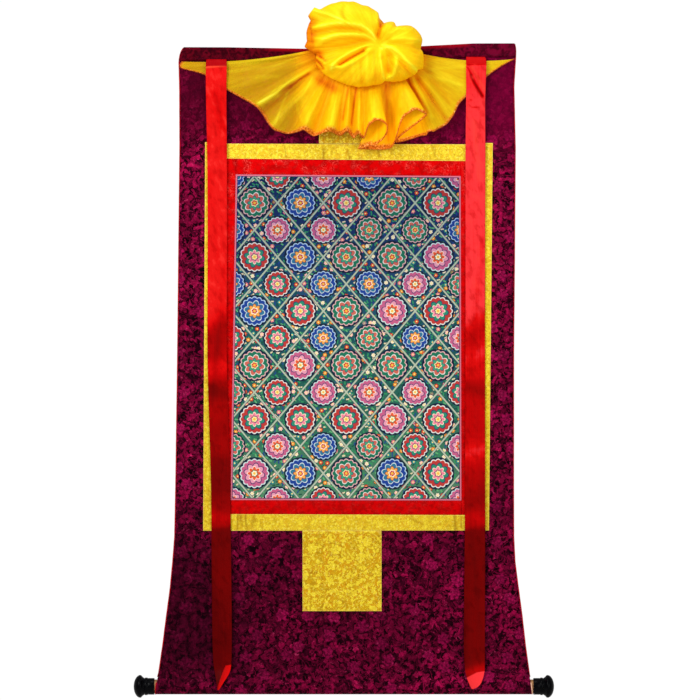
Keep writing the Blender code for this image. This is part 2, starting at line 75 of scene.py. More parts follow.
class Side(Enum):
    """The viewer's left or right, with the sign of its x."""

    LEFT = -1
    RIGHT = 1

    @property
    def word(self) -> str:
        """The side's name as the pieces use it."""
        return self.name.lower()


# -------- node building


def hue(code: int) -> Color:
    """A linear colour from an sRGB hex number.

    Args:
        code: The colour as 0xRRGGBB.

    Returns:
        The linear red, green, blue and an alpha of one.
    """
    parts = [((code >> shift) & 255) / 255 for shift in (16, 8, 0)]
    linear = [c / 12.92 if c <= 0.04045 else ((c + 0.055) / 1.055) ** 2.4 for c in parts]
    return (*linear, 1.0)


class Graph:
    """A node tree that is being built."""

    def __init__(self, tree: bpy.types.NodeTree) -> None:
        """Keep the tree.

        Args:
            tree: The shader or geometry tree.
        """
        self.tree = tree

    def node(
        self,
        kind: str,
        settings: Mapping[str, Any] | None = None,
        inputs: Mapping[str | int, Any] | None = None,
    ) -> bpy.types.Node:
        """Make a node, set it up, and then fill its sockets.

        Args:
            kind: The node's type.
            settings: Its properties; "stops" fills a colour ramp.
            inputs: Values, sockets or signals for its sockets, by name or number.

        Returns:
            The node.
        """
        made = self.tree.nodes.new(kind)
        for name, value in (settings or {}).items():
            if name == "stops":
                self._fill_ramp(made.color_ramp, value)
            else:
                setattr(made, name, value)
        for key, value in (inputs or {}).items():
            self.feed(made.inputs[key], value)
        return made

    def vector(self, x: Any = 0.0, y: Any = 0.0, z: Any = 0.0) -> bpy.types.Node:
        """A place from three numbers."""
        return self.node("ShaderNodeCombineXYZ", inputs={0: x, 1: y, 2: z})

    def feed(self, socket: bpy.types.NodeSocket, value: Any) -> None:
        """Link or set one socket.

        Args:
            socket: The socket to fill.
            value: A signal, a node or one of its sockets, or a plain value.
        """
        if isinstance(value, Signal):
            value = value.socket
        elif isinstance(value, bpy.types.Node):
            value = value.outputs[0]
        if isinstance(value, bpy.types.NodeSocket):
            self.tree.links.new(value, socket)
        else:
            socket.default_value = value

    @staticmethod
    def _fill_ramp(ramp: bpy.types.ColorRamp, stops: Sequence[tuple[float, Color]]) -> None:
        """Set a ramp's stops, which come in rising order.

        Args:
            ramp: The ramp.
            stops: The places and colours.
        """
        while len(ramp.elements) > 1:
            ramp.elements.remove(ramp.elements[-1])
        ramp.elements[0].position, ramp.elements[0].color = stops[0]
        for position, color in stops[1:]:
            ramp.elements.new(position).color = color


class Signal:
    """A number socket that takes part in plain arithmetic."""

    def __init__(self, graph: Graph, socket: bpy.types.NodeSocket) -> None:
        """Keep the graph and the socket."""
        self.graph = graph
        self.socket = socket

    def math(self, operation: str, *others: Any) -> "Signal":
        """A Math node on this number and up to two more.

        Args:
            operation: The node's operation.
            others: Numbers, signals or sockets.

        Returns:
            The result.
        """
        inputs = dict(enumerate((self, *others)))
        made = self.graph.node("ShaderNodeMath", {"operation": operation}, inputs)
        return Signal(self.graph, made.outputs[0])

    def _after(self, operation: str, first: Any) -> "Signal":
        """A Math node with this number in second place."""
        made = self.graph.node("ShaderNodeMath", {"operation": operation}, {0: first, 1: self})
        return Signal(self.graph, made.outputs[0])

    def __add__(self, other: Any) -> "Signal":
        """This plus the other."""
        return self.math("ADD", other)

    def __sub__(self, other: Any) -> "Signal":
        """This less the other."""
        return self.math("SUBTRACT", other)

    def __mul__(self, other: Any) -> "Signal":
        """This times the other."""
        return self.math("MULTIPLY", other)

    def __truediv__(self, other: Any) -> "Signal":
        """This over the other."""
        return self.math("DIVIDE", other)

    def __rsub__(self, other: Any) -> "Signal":
        """The other less this."""
        return self._after("SUBTRACT", other)

    def __rtruediv__(self, other: Any) -> "Signal":
        """The other over this."""
        return self._after("DIVIDE", other)

    def __neg__(self) -> "Signal":
        """This with its sign turned."""
        return self * -1.0

    # A sum and a product don't ask which number comes first
    __radd__ = __add__
    __rmul__ = __mul__

    def __abs__(self) -> "Signal":
        """This without its sign."""
        return self.math("ABSOLUTE")

    def rise(self, low: float, high: float) -> "Signal":
        """A soft step from 0 at low to 1 at high; low may be the greater.

        Args:
            low: Where it is 0.
            high: Where it is 1.

        Returns:
            The step.
        """
        inputs: dict[str | int, Any] = {0: self, 1: low, 2: high}
        if low > high:
            inputs = {0: self, 1: high, 2: low, 3: 1.0, 4: 0.0}
        made = self.graph.node(
            "ShaderNodeMapRange", {"interpolation_type": "SMOOTHSTEP"}, inputs
        )
        return Signal(self.graph, made.outputs[0])

    def under(self, edge: Any, soft: float) -> "Signal":
        """1 where this is less than the edge, with a soft border."""
        return (self - edge).rise(soft / 2, -soft / 2)

    def band(self, middle: float, half: float, soft: float) -> "Signal":
        """1 where this is within half of the middle, with a soft border."""
        return abs(self - middle).under(half, soft)


class Local(NamedTuple):
    """A place measured from the middle of the nearest motif."""

    radius: Signal
    angle: Signal
    chance: Signal
    other_chance: Signal


class Paint(Graph):
    """The node tree of one material, with its Principled shader."""

    def __init__(self, name: str) -> None:
        """Make the material.

        Args:
            name: The material's name.
        """
        self.material = bpy.data.materials.new(name)
        self.material.use_nodes = True
        super().__init__(self.material.node_tree)
        self.shader = self.tree.nodes["Principled BSDF"]
        self.object_place = self.node("ShaderNodeTexCoord").outputs["Object"]
        split = self.node("ShaderNodeSeparateXYZ", inputs={0: self.object_place})
        self.x, self.y, self.z = (Signal(self, socket) for socket in split.outputs)

    def attribute(self, name: str) -> Signal:
        """A number that the mesh carries at its points."""
        made = self.node("ShaderNodeAttribute", {"attribute_name": name})
        return Signal(self, made.outputs["Fac"])

    def noise(
        self, size: float, detail: float = 2.0, place: Any = None, warp: float = 0.0
    ) -> Signal:
        """Soft random numbers round a half.

        Args:
            size: The size of one lump, in metres.
            detail: How many finer layers are added.
            place: Where to read it; the piece's own place if left out.
            warp: How far the lumps are drawn out of shape.

        Returns:
            The noise.
        """
        made = self.node(
            "ShaderNodeTexNoise",
            inputs={
                "Vector": self.object_place if place is None else place,
                "Scale": 1 / size,
                "Detail": detail,
                "Distortion": warp,
            },
        )
        return Signal(self, made.outputs[0])

    def nearest(self, across: Any, up: Any, pitch: float, scatter: float = 0.8) -> Local:
        """The place from the middle of the nearest scattered motif.

        Args:
            across: The place across, in metres.
            up: The place up, in metres.
            pitch: The mean distance between motifs.
            scatter: 0 for a regular lattice, 1 for a random one.

        Returns:
            The radius and the angle from the motif's middle, and two random numbers for it.
        """
        place = self.vector(across, up)
        cells = self.node(
            "ShaderNodeTexVoronoi",
            {"voronoi_dimensions": "2D", "feature": "F1"},
            {"Vector": place, "Scale": 1 / pitch, "Randomness": scatter},
        )
        ends = {0: place, 1: cells.outputs["Position"]}
        away = self.node("ShaderNodeVectorMath", {"operation": "SUBTRACT"}, ends)
        length = self.node("ShaderNodeVectorMath", {"operation": "LENGTH"}, {0: away})
        parts = self.node("ShaderNodeSeparateXYZ", inputs={0: away})
        angle = Signal(self, parts.outputs[1]).math("ARCTAN2", parts.outputs[0])
        chances = self.node("ShaderNodeSeparateColor", inputs={0: cells.outputs["Color"]})
        first, second = (Signal(self, chances.outputs[i]) for i in (0, 1))
        return Local(Signal(self, length.outputs["Value"]), angle + first * TAU, first, second)

    def mix(self, share: Any, low: Any, high: Any, blend: str = "MIX") -> bpy.types.NodeSocket:
        """A colour between two colours.

        Args:
            share: 0 for the low colour, 1 for the high one.
            low: The first colour; a whole number is a hex colour.
            high: The second colour.
            blend: How the second is laid on the first.

        Returns:
            The colour's socket.
        """
        low, high = (hue(color) if isinstance(color, int) else color for color in (low, high))
        settings = {"data_type": "RGBA", "blend_type": blend}
        return self.node("ShaderNodeMix", settings, {0: share, 6: low, 7: high}).outputs[2]

    def ramp(self, value: Signal, stops: Sequence[tuple[float, int]], sharp: bool = False) -> Any:
        """A colour looked up by a number.

        Args:
            value: The number, from 0 to 1.
            stops: The places and hex colours along it.
            sharp: Whether the colours change at a step.

        Returns:
            The colour's socket.
        """
        settings = {"stops": [(place, hue(code)) for place, code in stops]}
        made = self.node("ShaderNodeValToRGB", settings, {0: value})
        if sharp:
            made.color_ramp.interpolation = "CONSTANT"
        return made.outputs[0]

    def bump(self, height: Signal, distance: float, strength: float = 1.0) -> None:
        """Raise the surface by a height from 0 to 1, times a distance in metres.

        Args:
            height: The height.
            distance: The distance.
            strength: The share that shows.
        """
        made = self.node(
            "ShaderNodeBump", inputs={"Height": height, "Distance": distance, "Strength": strength}
        )
        self.feed(self.shader.inputs["Normal"], made.outputs[0])

    def weave(self, pitch: float) -> Signal:
        """The over-and-under of a plain weave, from 0 to 1.

        Args:
            pitch: The step from thread to thread, twice over.

        Returns:
            The height.
        """
        over = (self.x * (TAU / pitch)).math("SINE")
        under = (self.z * (TAU / pitch)).math("SINE")
        return (over * under) * 0.5 + 0.5

    def surface(self, color: Any, roughness: Any, **sockets: Any) -> bpy.types.Material:
        """Fill the shader's sockets.

        Args:
            color: The base colour.
            roughness: The roughness.
            sockets: Other sockets, with an underscore for each space.

        Returns:
            The material.
        """
        self.feed(self.shader.inputs["Base Color"], color)
        self.feed(self.shader.inputs["Roughness"], roughness)
        for name, value in sockets.items():
            self.feed(self.shader.inputs[name.replace("_", " ")], value)
        return self.material


# -------- finishes


def blossom(spot: Local, size: float, petals: int, soft: float) -> tuple[Signal, Signal]:
    """A rounded flower.

    Args:
        spot: The place in the motif.
        size: The flower's radius.
        petals: How many petals it has.
        soft: The width of its soft border.

    Returns:
        The mask of its petals, and the mask of the lines between them.
    """
    lobes = abs((spot.angle * (petals / 2)).math("COSINE"))
    mask = spot.radius.under(size * 0.72 + lobes * (size * 0.28), soft)
    lines = lobes.rise(0.34, 0.1) * spot.radius.rise(size * 0.25, size * 0.45)
    return mask, lines


class Figure(NamedTuple):
    """The masks of a brocade's woven figure."""

    petals: Signal
    leaves: Signal
    chance: Signal


def woven_figure(p: Paint, size: float) -> Figure:
    """Ragged flowers set close among small blossoms and curls.

    Args:
        p: The material that is being made.
        size: The radius of a flower.

    Returns:
        The masks of the flowers and of the leaves, and a random number for each leaf.
    """
    warp = p.noise(size * 0.9, 2.0) - 0.5
    weft = p.noise(size * 0.8, 2.0, p.vector(p.z + 3.1, p.x)) - 0.5
    x, z = p.x + warp * size * 1.1, p.z + weft * size * 1.1
    large = p.nearest(x, z, size * 5.0, 0.9)
    petals, lines = blossom(large, size * 1.05, 6, size * 0.3)
    ring = large.radius.band(size * 0.42, size * 0.07, size * 0.16)
    petals = petals * (1.0 - lines * 0.4) * (1.0 - ring * 0.35) * (0.55 + large.chance * 0.45)
    leaves = None
    for away, pitch in ((0.9, 1.65), (2.3, 1.15)):
        small = p.nearest(x + away, z, size * pitch, 1.0)
        bend = (small.angle * 2.0).math("COSINE")
        edge = (bend * 0.17 + small.chance * 0.12 + 0.225) * (size * pitch)
        leaf = small.radius.under(edge, size * 0.12) * (0.25 + small.other_chance * 0.75)
        leaves = leaf if leaves is None else leaves.math("MAXIMUM", leaf)
    curl = p.noise(size * 2.4, 1.5, p.vector(x, z), 1.4)
    scroll = (curl * 8.0).math("FRACT").band(0.5, 0.13, 0.14)
    leaves = leaves.math("MAXIMUM", scroll * 0.6) * large.radius.rise(size * 0.92, size * 1.2)
    outlined = 1.0 - p.noise(size * 0.62, 2.0, p.vector(x, z)).band(0.5, 0.016, 0.026) * 0.6
    return Figure(petals * outlined, leaves * outlined, small.chance)


@dataclass(frozen=True)
class MaroonBrocade:
    """Dark maroon satin with magenta flowers and leaves woven in."""

    ground: int = 0x100006
    shade: int = 0x340215
    leaf: int = 0x7E0633
    leaf_light: int = 0xB40C4C
    flower: int = 0xB41054
    glint: int = 0xD04072
    plain: int = 0x440017
    plain_right: int = 0x660029
    hem: int = 0x280105
    hem_light: int = 0x580311
    hem_right: int = 0x74062E
    rim: int = 0x8E0412
    figure: float = 0.0118

    def material(self) -> bpy.types.Material:
        """The cloth's material.

        Returns:
            The material.
        """
        p = Paint("maroon_brocade_cloth")
        figure = woven_figure(p, self.figure)
        # Painted light and shade over the figure: darker low down and most at the lower left,
        # lighter on the sleeve's front and towards the top, with a broad random tone
        broad = p.noise(0.14, 2.0).rise(0.3, 0.7) * 0.3 + 0.7
        low_shade = p.z.rise(-0.78, -1.02) * (0.44 - p.x.rise(0.0, 0.15) * 0.22)
        tone_and_painted_light = broad * (1.0 - low_shade) * (1.0 + p.z.rise(-1.225, -1.24) * 0.3)
        tone_and_painted_light = tone_and_painted_light * (1.0 + p.z.rise(-0.62, -0.40) * 0.14)
        left, low = p.x + 0.31, p.z + 1.12
        tone_and_painted_light = tone_and_painted_light * (1.0 - (left * left + low * low * 0.6).rise(0.021, 0.0) * 0.68)
        speck = p.noise(0.0046, 2.0).rise(0.36, 0.62) * 0.4 + 0.6
        glint = p.noise(0.0052, 2.0, warp=1.0).rise(0.60, 0.74)
        color = p.mix(p.noise(0.012, 3.0).rise(0.4, 0.7), self.ground, self.shade)
        leaf = p.mix(figure.chance, self.leaf, self.leaf_light)
        color = p.mix(figure.leaves * tone_and_painted_light * speck, color, leaf)
        color = p.mix(figure.petals * tone_and_painted_light * (speck * 1.4 - 0.4), color, self.flower)
        motif = figure.leaves.math("MAXIMUM", figure.petals)
        color = p.mix(glint * motif * tone_and_painted_light * 0.65, color, self.glint)
        # Under the veil the figure gives way to plain, darker cloth: painted shade from the veil,
        # lighter to the right
        plain = p.mix(p.x.rise(-0.28, 0.30), self.plain, self.plain_right)
        plain = p.mix(p.noise(0.016, 3.0).rise(0.42, 0.68) * 0.5, plain, self.shade)
        color = p.mix(p.z.rise(-0.24, -0.13) * 0.78, color, plain)
        mottle = p.noise(0.010, 3.0, warp=1.0).rise(0.38, 0.62)
        hem = p.mix(mottle, self.hem, self.hem_light)
        hem = p.mix(p.x.rise(0.05, 0.33) * (mottle * 0.5 + 0.1), hem, self.hem_right)
        color = p.mix(p.attribute("hem") * 0.85, color, hem)
        color = p.mix(p.attribute("rim") * 0.9, color, self.rim)
        p.bump(motif * 0.7 + p.weave(0.0011) * 0.3, 0.00035, 0.5)
        return p.surface(color, 0.78 - motif * 0.14, Specular_IOR_Level=0.015)


@dataclass(frozen=True)
class GoldBrocade:
    """Yellow brocade, tone on tone."""

    name: str = "gold_brocade_cloth"
    light: int = 0xF4DA34
    mellow: int = 0xE0BE20
    ground: int = 0xD0A00A
    warm: int = 0xDC8C08
    dark: int = 0x966C02
    # The colour of the painted shade in the creases
    shine: int = 0xFFF070
    fold: int = 0x9C6C04
    edge_highlight: int = 0xFFEC80
    figure: float = 0.0088
    contrast: float = 0.6

    def material(self) -> bpy.types.Material:
        """The cloth's material.

        Returns:
            The material.
        """
        p = Paint(self.name)
        figure = woven_figure(p, self.figure)
        motif = figure.leaves.math("MAXIMUM", figure.petals)
        warmth = p.noise(0.024, 2.0).rise(0.4, 0.75)
        ground = p.mix(warmth * 0.6, self.ground, self.warm)
        bare = motif.rise(0.62, 0.2) * self.contrast
        light = p.mix(p.noise(0.0075, 3.0).rise(0.4, 0.7) * 0.5, self.light, self.mellow)
        color = p.mix(bare, light, ground)
        outline = motif.band(0.30, 0.14, 0.16) * (0.55 * self.contrast)
        color = p.mix(outline, color, self.dark)
        color = p.mix(p.noise(0.0046, 2.0).rise(0.46, 0.72) * 0.28, color, self.dark)
        shine = p.noise(0.0044, 2.0, p.vector(p.z, p.x)).rise(0.54, 0.72)
        color = p.mix(shine * 0.5, color, self.shine)
        # Painted shade in the creases
        color = p.mix(p.attribute("crease") * 0.75, color, self.fold)
        # Painted highlight along the edges
        color = p.mix(p.attribute("edge").rise(0.0020, 0.0008) * 0.25, color, self.edge_highlight)
        # Painted shade: darker towards the bottom
        color = p.mix(p.z.rise(-0.25, -0.95) * 0.52, color, 0xD8D6C8, "MULTIPLY")
        p.bump(motif * 0.7 + p.weave(0.0009) * 0.3, 0.0003, 0.5)
        return p.surface(color, 0.62 - motif * 0.1, Specular_IOR_Level=0.06)


@dataclass(frozen=True)
class RedBrocade:
    """Bright red brocade with a light mottling."""

    ground: int = 0xD00002
    figure: int = 0xFF5048
    deep: int = 0xA40000

    def material(self) -> bpy.types.Material:
        """The cloth's material.

        Returns:
            The material.
        """
        p = Paint("red_brocade_cloth")
        curl = p.noise(0.010, 2.0, p.vector(p.x, p.z), 1.4)
        stroke = (curl * 5.5).math("FRACT").band(0.5, 0.14, 0.16)
        patch = p.noise(0.020, 2.0).rise(0.40, 0.62)
        color = p.mix(p.noise(0.010, 3.0).rise(0.38, 0.66) * 0.85, self.ground, self.deep)
        upper = p.z.rise(-0.45, -0.22) * 0.6 + 0.16
        grain = p.noise(0.0030, 2.0).rise(0.40, 0.62) * 0.6 + 0.4
        color = p.mix(stroke * patch * upper * grain, color, self.figure)
        # Painted shade: darker towards the bottom
        color = p.mix(p.z.rise(-0.25, -0.92) * 0.4, color, 0xC8C8C8, "MULTIPLY")
        p.bump(stroke * 0.7 + p.weave(0.0009) * 0.3, 0.0003, 0.4)
        return p.surface(color, 0.6 - stroke * 0.08, Specular_IOR_Level=0.02)


@dataclass(frozen=True)
class RolledCord:
    """Bias-cut cloth rolled into piping or a bound edge."""

    name: str
    color: int
    dark: int

    def material(self) -> bpy.types.Material:
        """The binding's material.

        Returns:
            The material.
        """
        p = Paint(self.name)
        slant = ((p.z + p.x * 0.6 + p.y * 0.8) * (TAU / 0.0024)).math("SINE") * 0.5 + 0.5
        wear = p.noise(0.009, 3.0).rise(0.35, 0.7)
        color = p.mix(wear * 0.6 + slant * 0.3, self.color, self.dark)
        p.bump(slant, 0.0002, 0.4)
        return p.surface(color, 0.6 + wear * 0.12, Specular_IOR_Level=0.08)


@dataclass(frozen=True)
class SatinRibbon:
    """Red satin, bright where it turns to the light."""

    name: str
    bright: int
    header: int
    flap: int
    # The colour of the painted highlight on the ridges
    ridge: int = 0xFF5A3A

    def material(self) -> bpy.types.Material:
        """The ribbon's material.

        Returns:
            The material.
        """
        p = Paint(self.name)
        soft = p.noise(0.045, 2.0, p.vector(p.x * 2.4, p.z)) - 0.5
        threads = p.noise(0.0022, 2.0, p.vector(p.x, p.z * 0.02)) - 0.5
        slubs = p.noise(0.006, 2.0, p.vector(p.x * 0.4, p.z)) - 0.5
        crease = p.attribute("crease")
        shade = p.attribute("shade") + soft * 0.16 + threads * 0.16 + slubs * 0.10
        # Troughs add painted shade
        shade = shade + crease.math("MAXIMUM", 0.0) * 0.55
        tones = [(0.0, self.bright), (0.18, 0xCE0808), (0.34, 0xAE0203), (0.5, 0x940202)]
        color = p.ramp(shade, [*tones, (0.72, 0x6E0202), (0.9, 0x600202), (1.0, 0x520102)])
        # Painted shade in random dark patches, and painted highlights in bright streaks on the
        # upper part
        satin_sheen_and_shade = p.noise(0.012, 3.0, p.vector(p.x + p.z * 0.3, p.z * 0.5))
        color = p.mix(satin_sheen_and_shade.rise(0.50, 0.66) * 0.7, color, 0xDCA0A0, "MULTIPLY")
        color = p.mix(satin_sheen_and_shade.rise(0.46, 0.30) * p.z.rise(-0.56, -0.48) * 0.3, color, 0xF83C34)
        # Painted highlight on the ridges
        color = p.mix((-crease).math("MAXIMUM", 0.0) * 0.6, color, self.ridge)
        color = p.mix(p.attribute("header") * 0.9, color, self.header)
        color = p.mix(p.attribute("flap"), color, self.flap)
        p.bump(threads + p.noise(0.0007, 1.0) * 0.3, 0.00012, 0.4)
        return p.surface(color, 0.45 + threads * 0.1, Specular_IOR_Level=0.018, Anisotropic=0.3)


@dataclass(frozen=True)
class SheerSilk:
    """Thin yellow silk, with painted shade in orange in its hollows and painted highlights in pale
    yellow on its ridges.
    """

    veiled: float = 0.31
    # The strength of the painted glow
    glow: float = 0.42

    def material(self) -> bpy.types.Material:
        """The silk's material.

        Returns:
            The material.
        """
        p = Paint("sheer_yellow_silk")
        hem = p.attribute("hem")
        cover = p.attribute("cover")
        around = [p.attribute(name) for name in ("ring_x", "ring_y")]
        along = p.attribute("along")
        run = p.vector(*around, along)
        pulled = p.noise(2.0, 3.0, run) - 0.5
        # The fold mark's painted light and shade picks the colour, from orange shade to pale yellow
        # highlight
        tone = p.attribute("fold") + pulled * 0.56 + (p.noise(0.007, 3.0) - 0.5) * 0.24
        hues = [(0.0, 0xC45C00), (0.14, 0xDC7A02), (0.32, 0xE89C04), (0.5, 0xEEB808)]
        hues += [(0.66, 0xEEC812), (0.84, 0xF1DA20), (1.0, 0xF6EE40)]
        color = p.ramp(tone * 0.5 + 0.5, hues)
        knots = [(0.3, 0x8A3204), (0.45, 0xBC5410), (0.6, 0xDC7C28), (0.75, 0xF0B870)]
        color = p.mix(hem * 0.92, color, p.ramp(p.noise(0.0034, 2.0), knots))
        weave = p.weave(0.0008)
        alpha = cover * (1.0 - self.veiled) + self.veiled + tone.math("MAXIMUM", 0.0) * 0.22
        alpha = alpha + pulled * 0.10 + hem * 0.4
        p.bump(weave * 0.3 + p.noise(0.004, 3.0) * 0.5 + pulled * 0.6, 0.0005, 0.4)
        # The emission is a painted glow over the whole silk, brightest inside the skirt's curls:
        # painted light
        level = p.mix(p.attribute("inside"), 0x8E8E8E, 0xFFFFFF)
        return p.surface(
            color,
            0.45 - tone * 0.06,
            Alpha=alpha.math("MINIMUM", 1.0).math("MAXIMUM", 0.0),
            Specular_IOR_Level=0.04,
            Emission_Color=p.mix(1.0, color, level, "MULTIPLY"),
            Emission_Strength=self.glow,
        )


@dataclass(frozen=True)
class Thread:
    """Twisted sewing thread."""

    name: str
    color: int
    dark: int

    def material(self) -> bpy.types.Material:
        """The thread's material.

        Returns:
            The material.
        """
        p = Paint(self.name)
        twist = p.noise(0.0012, 2.0)
        p.bump(twist, 0.0001, 0.5)
        color = p.mix(twist.rise(0.4, 0.6), self.color, self.dark)
        return p.surface(color, 0.6, Specular_IOR_Level=0.1)


@dataclass(frozen=True)
class BlackLacquer:
    """Glossy black lacquer on turned wood."""

    def material(self) -> bpy.types.Material:
        """The lacquer's material.

        Returns:
            The material.
        """
        p = Paint("black_lacquer_gloss")
        haze = p.noise(0.012, 4.0)
        scuff = p.noise(0.0024, 3.0).rise(0.66, 0.80)
        color = p.mix(scuff * 0.3, 0x010103, 0x101018)
        p.bump(haze, 0.0006, 0.12)
        return p.surface(color, 0.22 + haze * 0.12 + scuff * 0.1, Specular_IOR_Level=0.05)


@dataclass(frozen=True)
class PlainWood:
    """Plain turned wood, with its grain along the rod."""

    def material(self) -> bpy.types.Material:
        """The wood's material.

        Returns:
            The material.
        """
        p = Paint("plain_rod_wood")
        stretched = p.vector(p.x * 0.05, p.y, p.z)
        grain = p.noise(0.0035, 3.0, stretched, 0.6)
        p.bump(grain, 0.0002, 0.4)
        return p.surface(p.ramp(grain, [(0.3, 0x6A421F), (0.7, 0xB07E48)]), 0.55 + grain * 0.15)


class Tier(NamedTuple):
    """A ring of petals in a medallion, as shares of its radius."""

    petals: int
    turn: float
    reach: float
    swell: float
    tones: tuple[int, int, int, int]


@dataclass(frozen=True)
class PaintedCloth:
    """Painted cloth: lotus medallions in a lozenge trellis, strewn with small blossoms."""

    middle_x: float = 0.0005
    middle_z: float = -0.5715
    half_width: float = 0.2245
    half_height: float = 0.3175
    across: int = 5
    down: int = 6
    line: float = 0.0007
    tiers: tuple[Tier, ...] = (
        Tier(16, 0.0, 1.00, 0.10, (0xD8DCD4, 0xD8A8A8, 0xC4DCD8, 0xA8C4DC)),
        Tier(16, 0.0, 0.93, 0.10, (0xB03630, 0x1C6A50, 0xB8587C, 0x1C3C88)),
        Tier(8, 0.5, 0.74, 0.20, (0x12285C, 0xD8DCD4, 0x12285C, 0xC8D4D0)),
        Tier(8, 0.5, 0.68, 0.20, (0x2A8468, 0xC0604E, 0xD890A4, 0x2C6C8C)),
        Tier(8, 0.0, 0.50, 0.17, (0xF2E4C4, 0x163264, 0xF0DCC0, 0x7A2030)),
        Tier(8, 0.0, 0.45, 0.17, (0xE07A8C, 0x3C9470, 0xD8502E, 0xE8A04A)),
        Tier(6, 0.5, 0.26, 0.08, (0x163264, 0xF2DCA0, 0x1D6A52, 0xF6ECD0)),
        Tier(6, 0.5, 0.20, 0.06, (0xF4DC90, 0xC0342E, 0xF4E6C0, 0xB83044)),
    )

    def material(self) -> bpy.types.Material:
        """The painting's material.

        Returns:
            The material.
        """
        p = Paint("painted_cloth_design")
        x, z = p.x - self.middle_x, p.z - self.middle_z
        level = z / (2 * self.half_height) + 0.5 + (p.noise(0.05, 3.0) - 0.5) * 0.16
        tones = [(0.0, 0x4E7A5C), (0.2, 0x2C6650), (0.42, 0x1B4E4C)]
        tones += [(0.62, 0x1C4660), (0.8, 0x14305E), (1.0, 0x0C2050)]
        color = p.ramp(level, tones)
        color = self._meadow(p, x, z, color)
        color = self._trellis(p, x, z, color)
        color = p.mix(z.rise(0.0, 0.26) * 0.8, color, 0xC8D0E0, "MULTIPLY")
        away = p.attribute("edge")
        color = p.mix(away.rise(0.0044, 0.0038), color, 0x16244A)
        color = p.mix(away.rise(0.0032, 0.0026), color, 0xC8687C)
        grain = p.noise(0.0012, 2.0)
        color = p.mix(grain.rise(0.5, 0.9) * 0.25, color, 0x10201E)
        p.bump(p.weave(0.0008) * 0.6 + grain * 0.4, 0.00018, 0.4)
        return p.surface(color, 0.7, Specular_IOR_Level=0.08)

    def _meadow(self, p: Paint, x: Signal, z: Signal, color: Any) -> Any:
        """Small blossoms and leaves, strewn close together.

        Args:
            p: The material that is being made.
            x: The place right of the middle.
            z: The height above it.
            color: The colour below.

        Returns:
            The colour.
        """
        leaf_at = p.nearest(x + 0.7, z, 0.0074, 1.0)
        leaf_edge = 0.0022 + (leaf_at.angle * 2.0).math("COSINE") * 0.0012
        leaf = leaf_at.radius.under(leaf_edge, 0.0006)
        greens = [(0.0, 0x2F8A56), (0.3, 0x0F4A3C), (0.5, 0x5CA86A)]
        greens += [(0.7, 0x1D3F7C), (0.86, 0xD8C9A0)]
        color = p.mix(leaf * 0.92, color, p.ramp(leaf_at.chance, greens, sharp=True))
        spot = p.nearest(x, z, 0.0125, 0.85)
        petals, lines = blossom(spot, 0.0042, 6, self.line)
        shown = spot.other_chance.rise(0.34, 0.38)
        tones = [(0.0, 0xD04A30), (0.2, 0xE8DCC0), (0.4, 0xE0808E)]
        tones += [(0.55, 0x2E8C86), (0.7, 0xE0882E), (0.85, 0xF2BDB4)]
        color = p.mix(spot.radius.under(0.0048, 0.0006) * shown * 0.75, color, 0x0E1C2E)
        color = p.mix(petals * shown, color, p.ramp(spot.chance, tones, sharp=True))
        color = p.mix(lines * petals * shown * 0.7, color, 0x5A1C1C)
        return p.mix(spot.radius.under(0.0014, 0.0005) * shown, color, 0xF3D67A)

    def _trellis(self, p: Paint, x: Signal, z: Signal, color: Any) -> Any:
        """Two staggered lattices of medallions, with a beaded ribbon between them.

        Args:
            p: The material that is being made.
            x: The place right of the middle.
            z: The height above it.
            color: The colour below.

        Returns:
            The colour.
        """
        wide, tall = 2 * self.half_width / self.across, 2 * self.half_height / self.down
        u, v = x / wide + self.across / 2, z / tall + self.down / 2
        inner_u, inner_v = u.math("FRACT") - 0.5, v.math("FRACT") - 0.5
        outer_u, outer_v = (u + 0.5).math("FRACT") - 0.5, (v + 0.5).math("FRACT") - 0.5
        reach = (abs(inner_u) + abs(inner_v)) * 2.0
        pick = reach.under(1.0, 0.0001)
        away = abs(reach - 1.0)
        color = p.mix(away.under(0.068, 0.02), color, 0x0E2A3C)
        color = p.mix(away.under(0.046, 0.02), color, 0xA8B49C)
        bead = ((u + v) * 10.0).math("FRACT").band(0.5, 0.26, 0.1)
        bead = bead * ((u - v) * 10.0).math("FRACT").band(0.5, 0.3, 0.1)
        color = p.mix(away.under(0.03, 0.02) * bead, color, 0x9C2A3C)
        local_u = (outer_u + (inner_u - outer_u) * pick) * wide
        local_v = (outer_v + (inner_v - outer_v) * pick) * tall
        cell_u = (u + 0.5 - pick * 0.5).math("FLOOR")
        cell_v = (v + 0.5 - pick * 0.5).math("FLOOR")
        place = p.vector(cell_u, cell_v, pick)
        draw = p.node("ShaderNodeTexWhiteNoise", {"noise_dimensions": "3D"}, {"Vector": place})
        chance = Signal(p, draw.outputs["Value"])
        size = pick * 0.0035 + 0.0255
        radius = (local_u * local_u + local_v * local_v).math("SQRT") / size
        angle = local_v.math("ARCTAN2", local_u)
        color = p.mix(radius.under(1.09, 0.03), color, 0x101C34)
        for tier in self.tiers:
            lobe = abs((angle * (tier.petals / 2) + tier.turn * math.pi / 2).math("COSINE"))
            edge = lobe * tier.swell + (tier.reach - tier.swell)
            tones = [(i / 4, tone) for i, tone in enumerate(tier.tones)]
            color = p.mix(radius.under(edge, 0.03), color, p.ramp(chance, tones, sharp=True))
        return p.mix(radius.under(0.09, 0.03), color, 0xE8B040)


# -------- shaping cloth


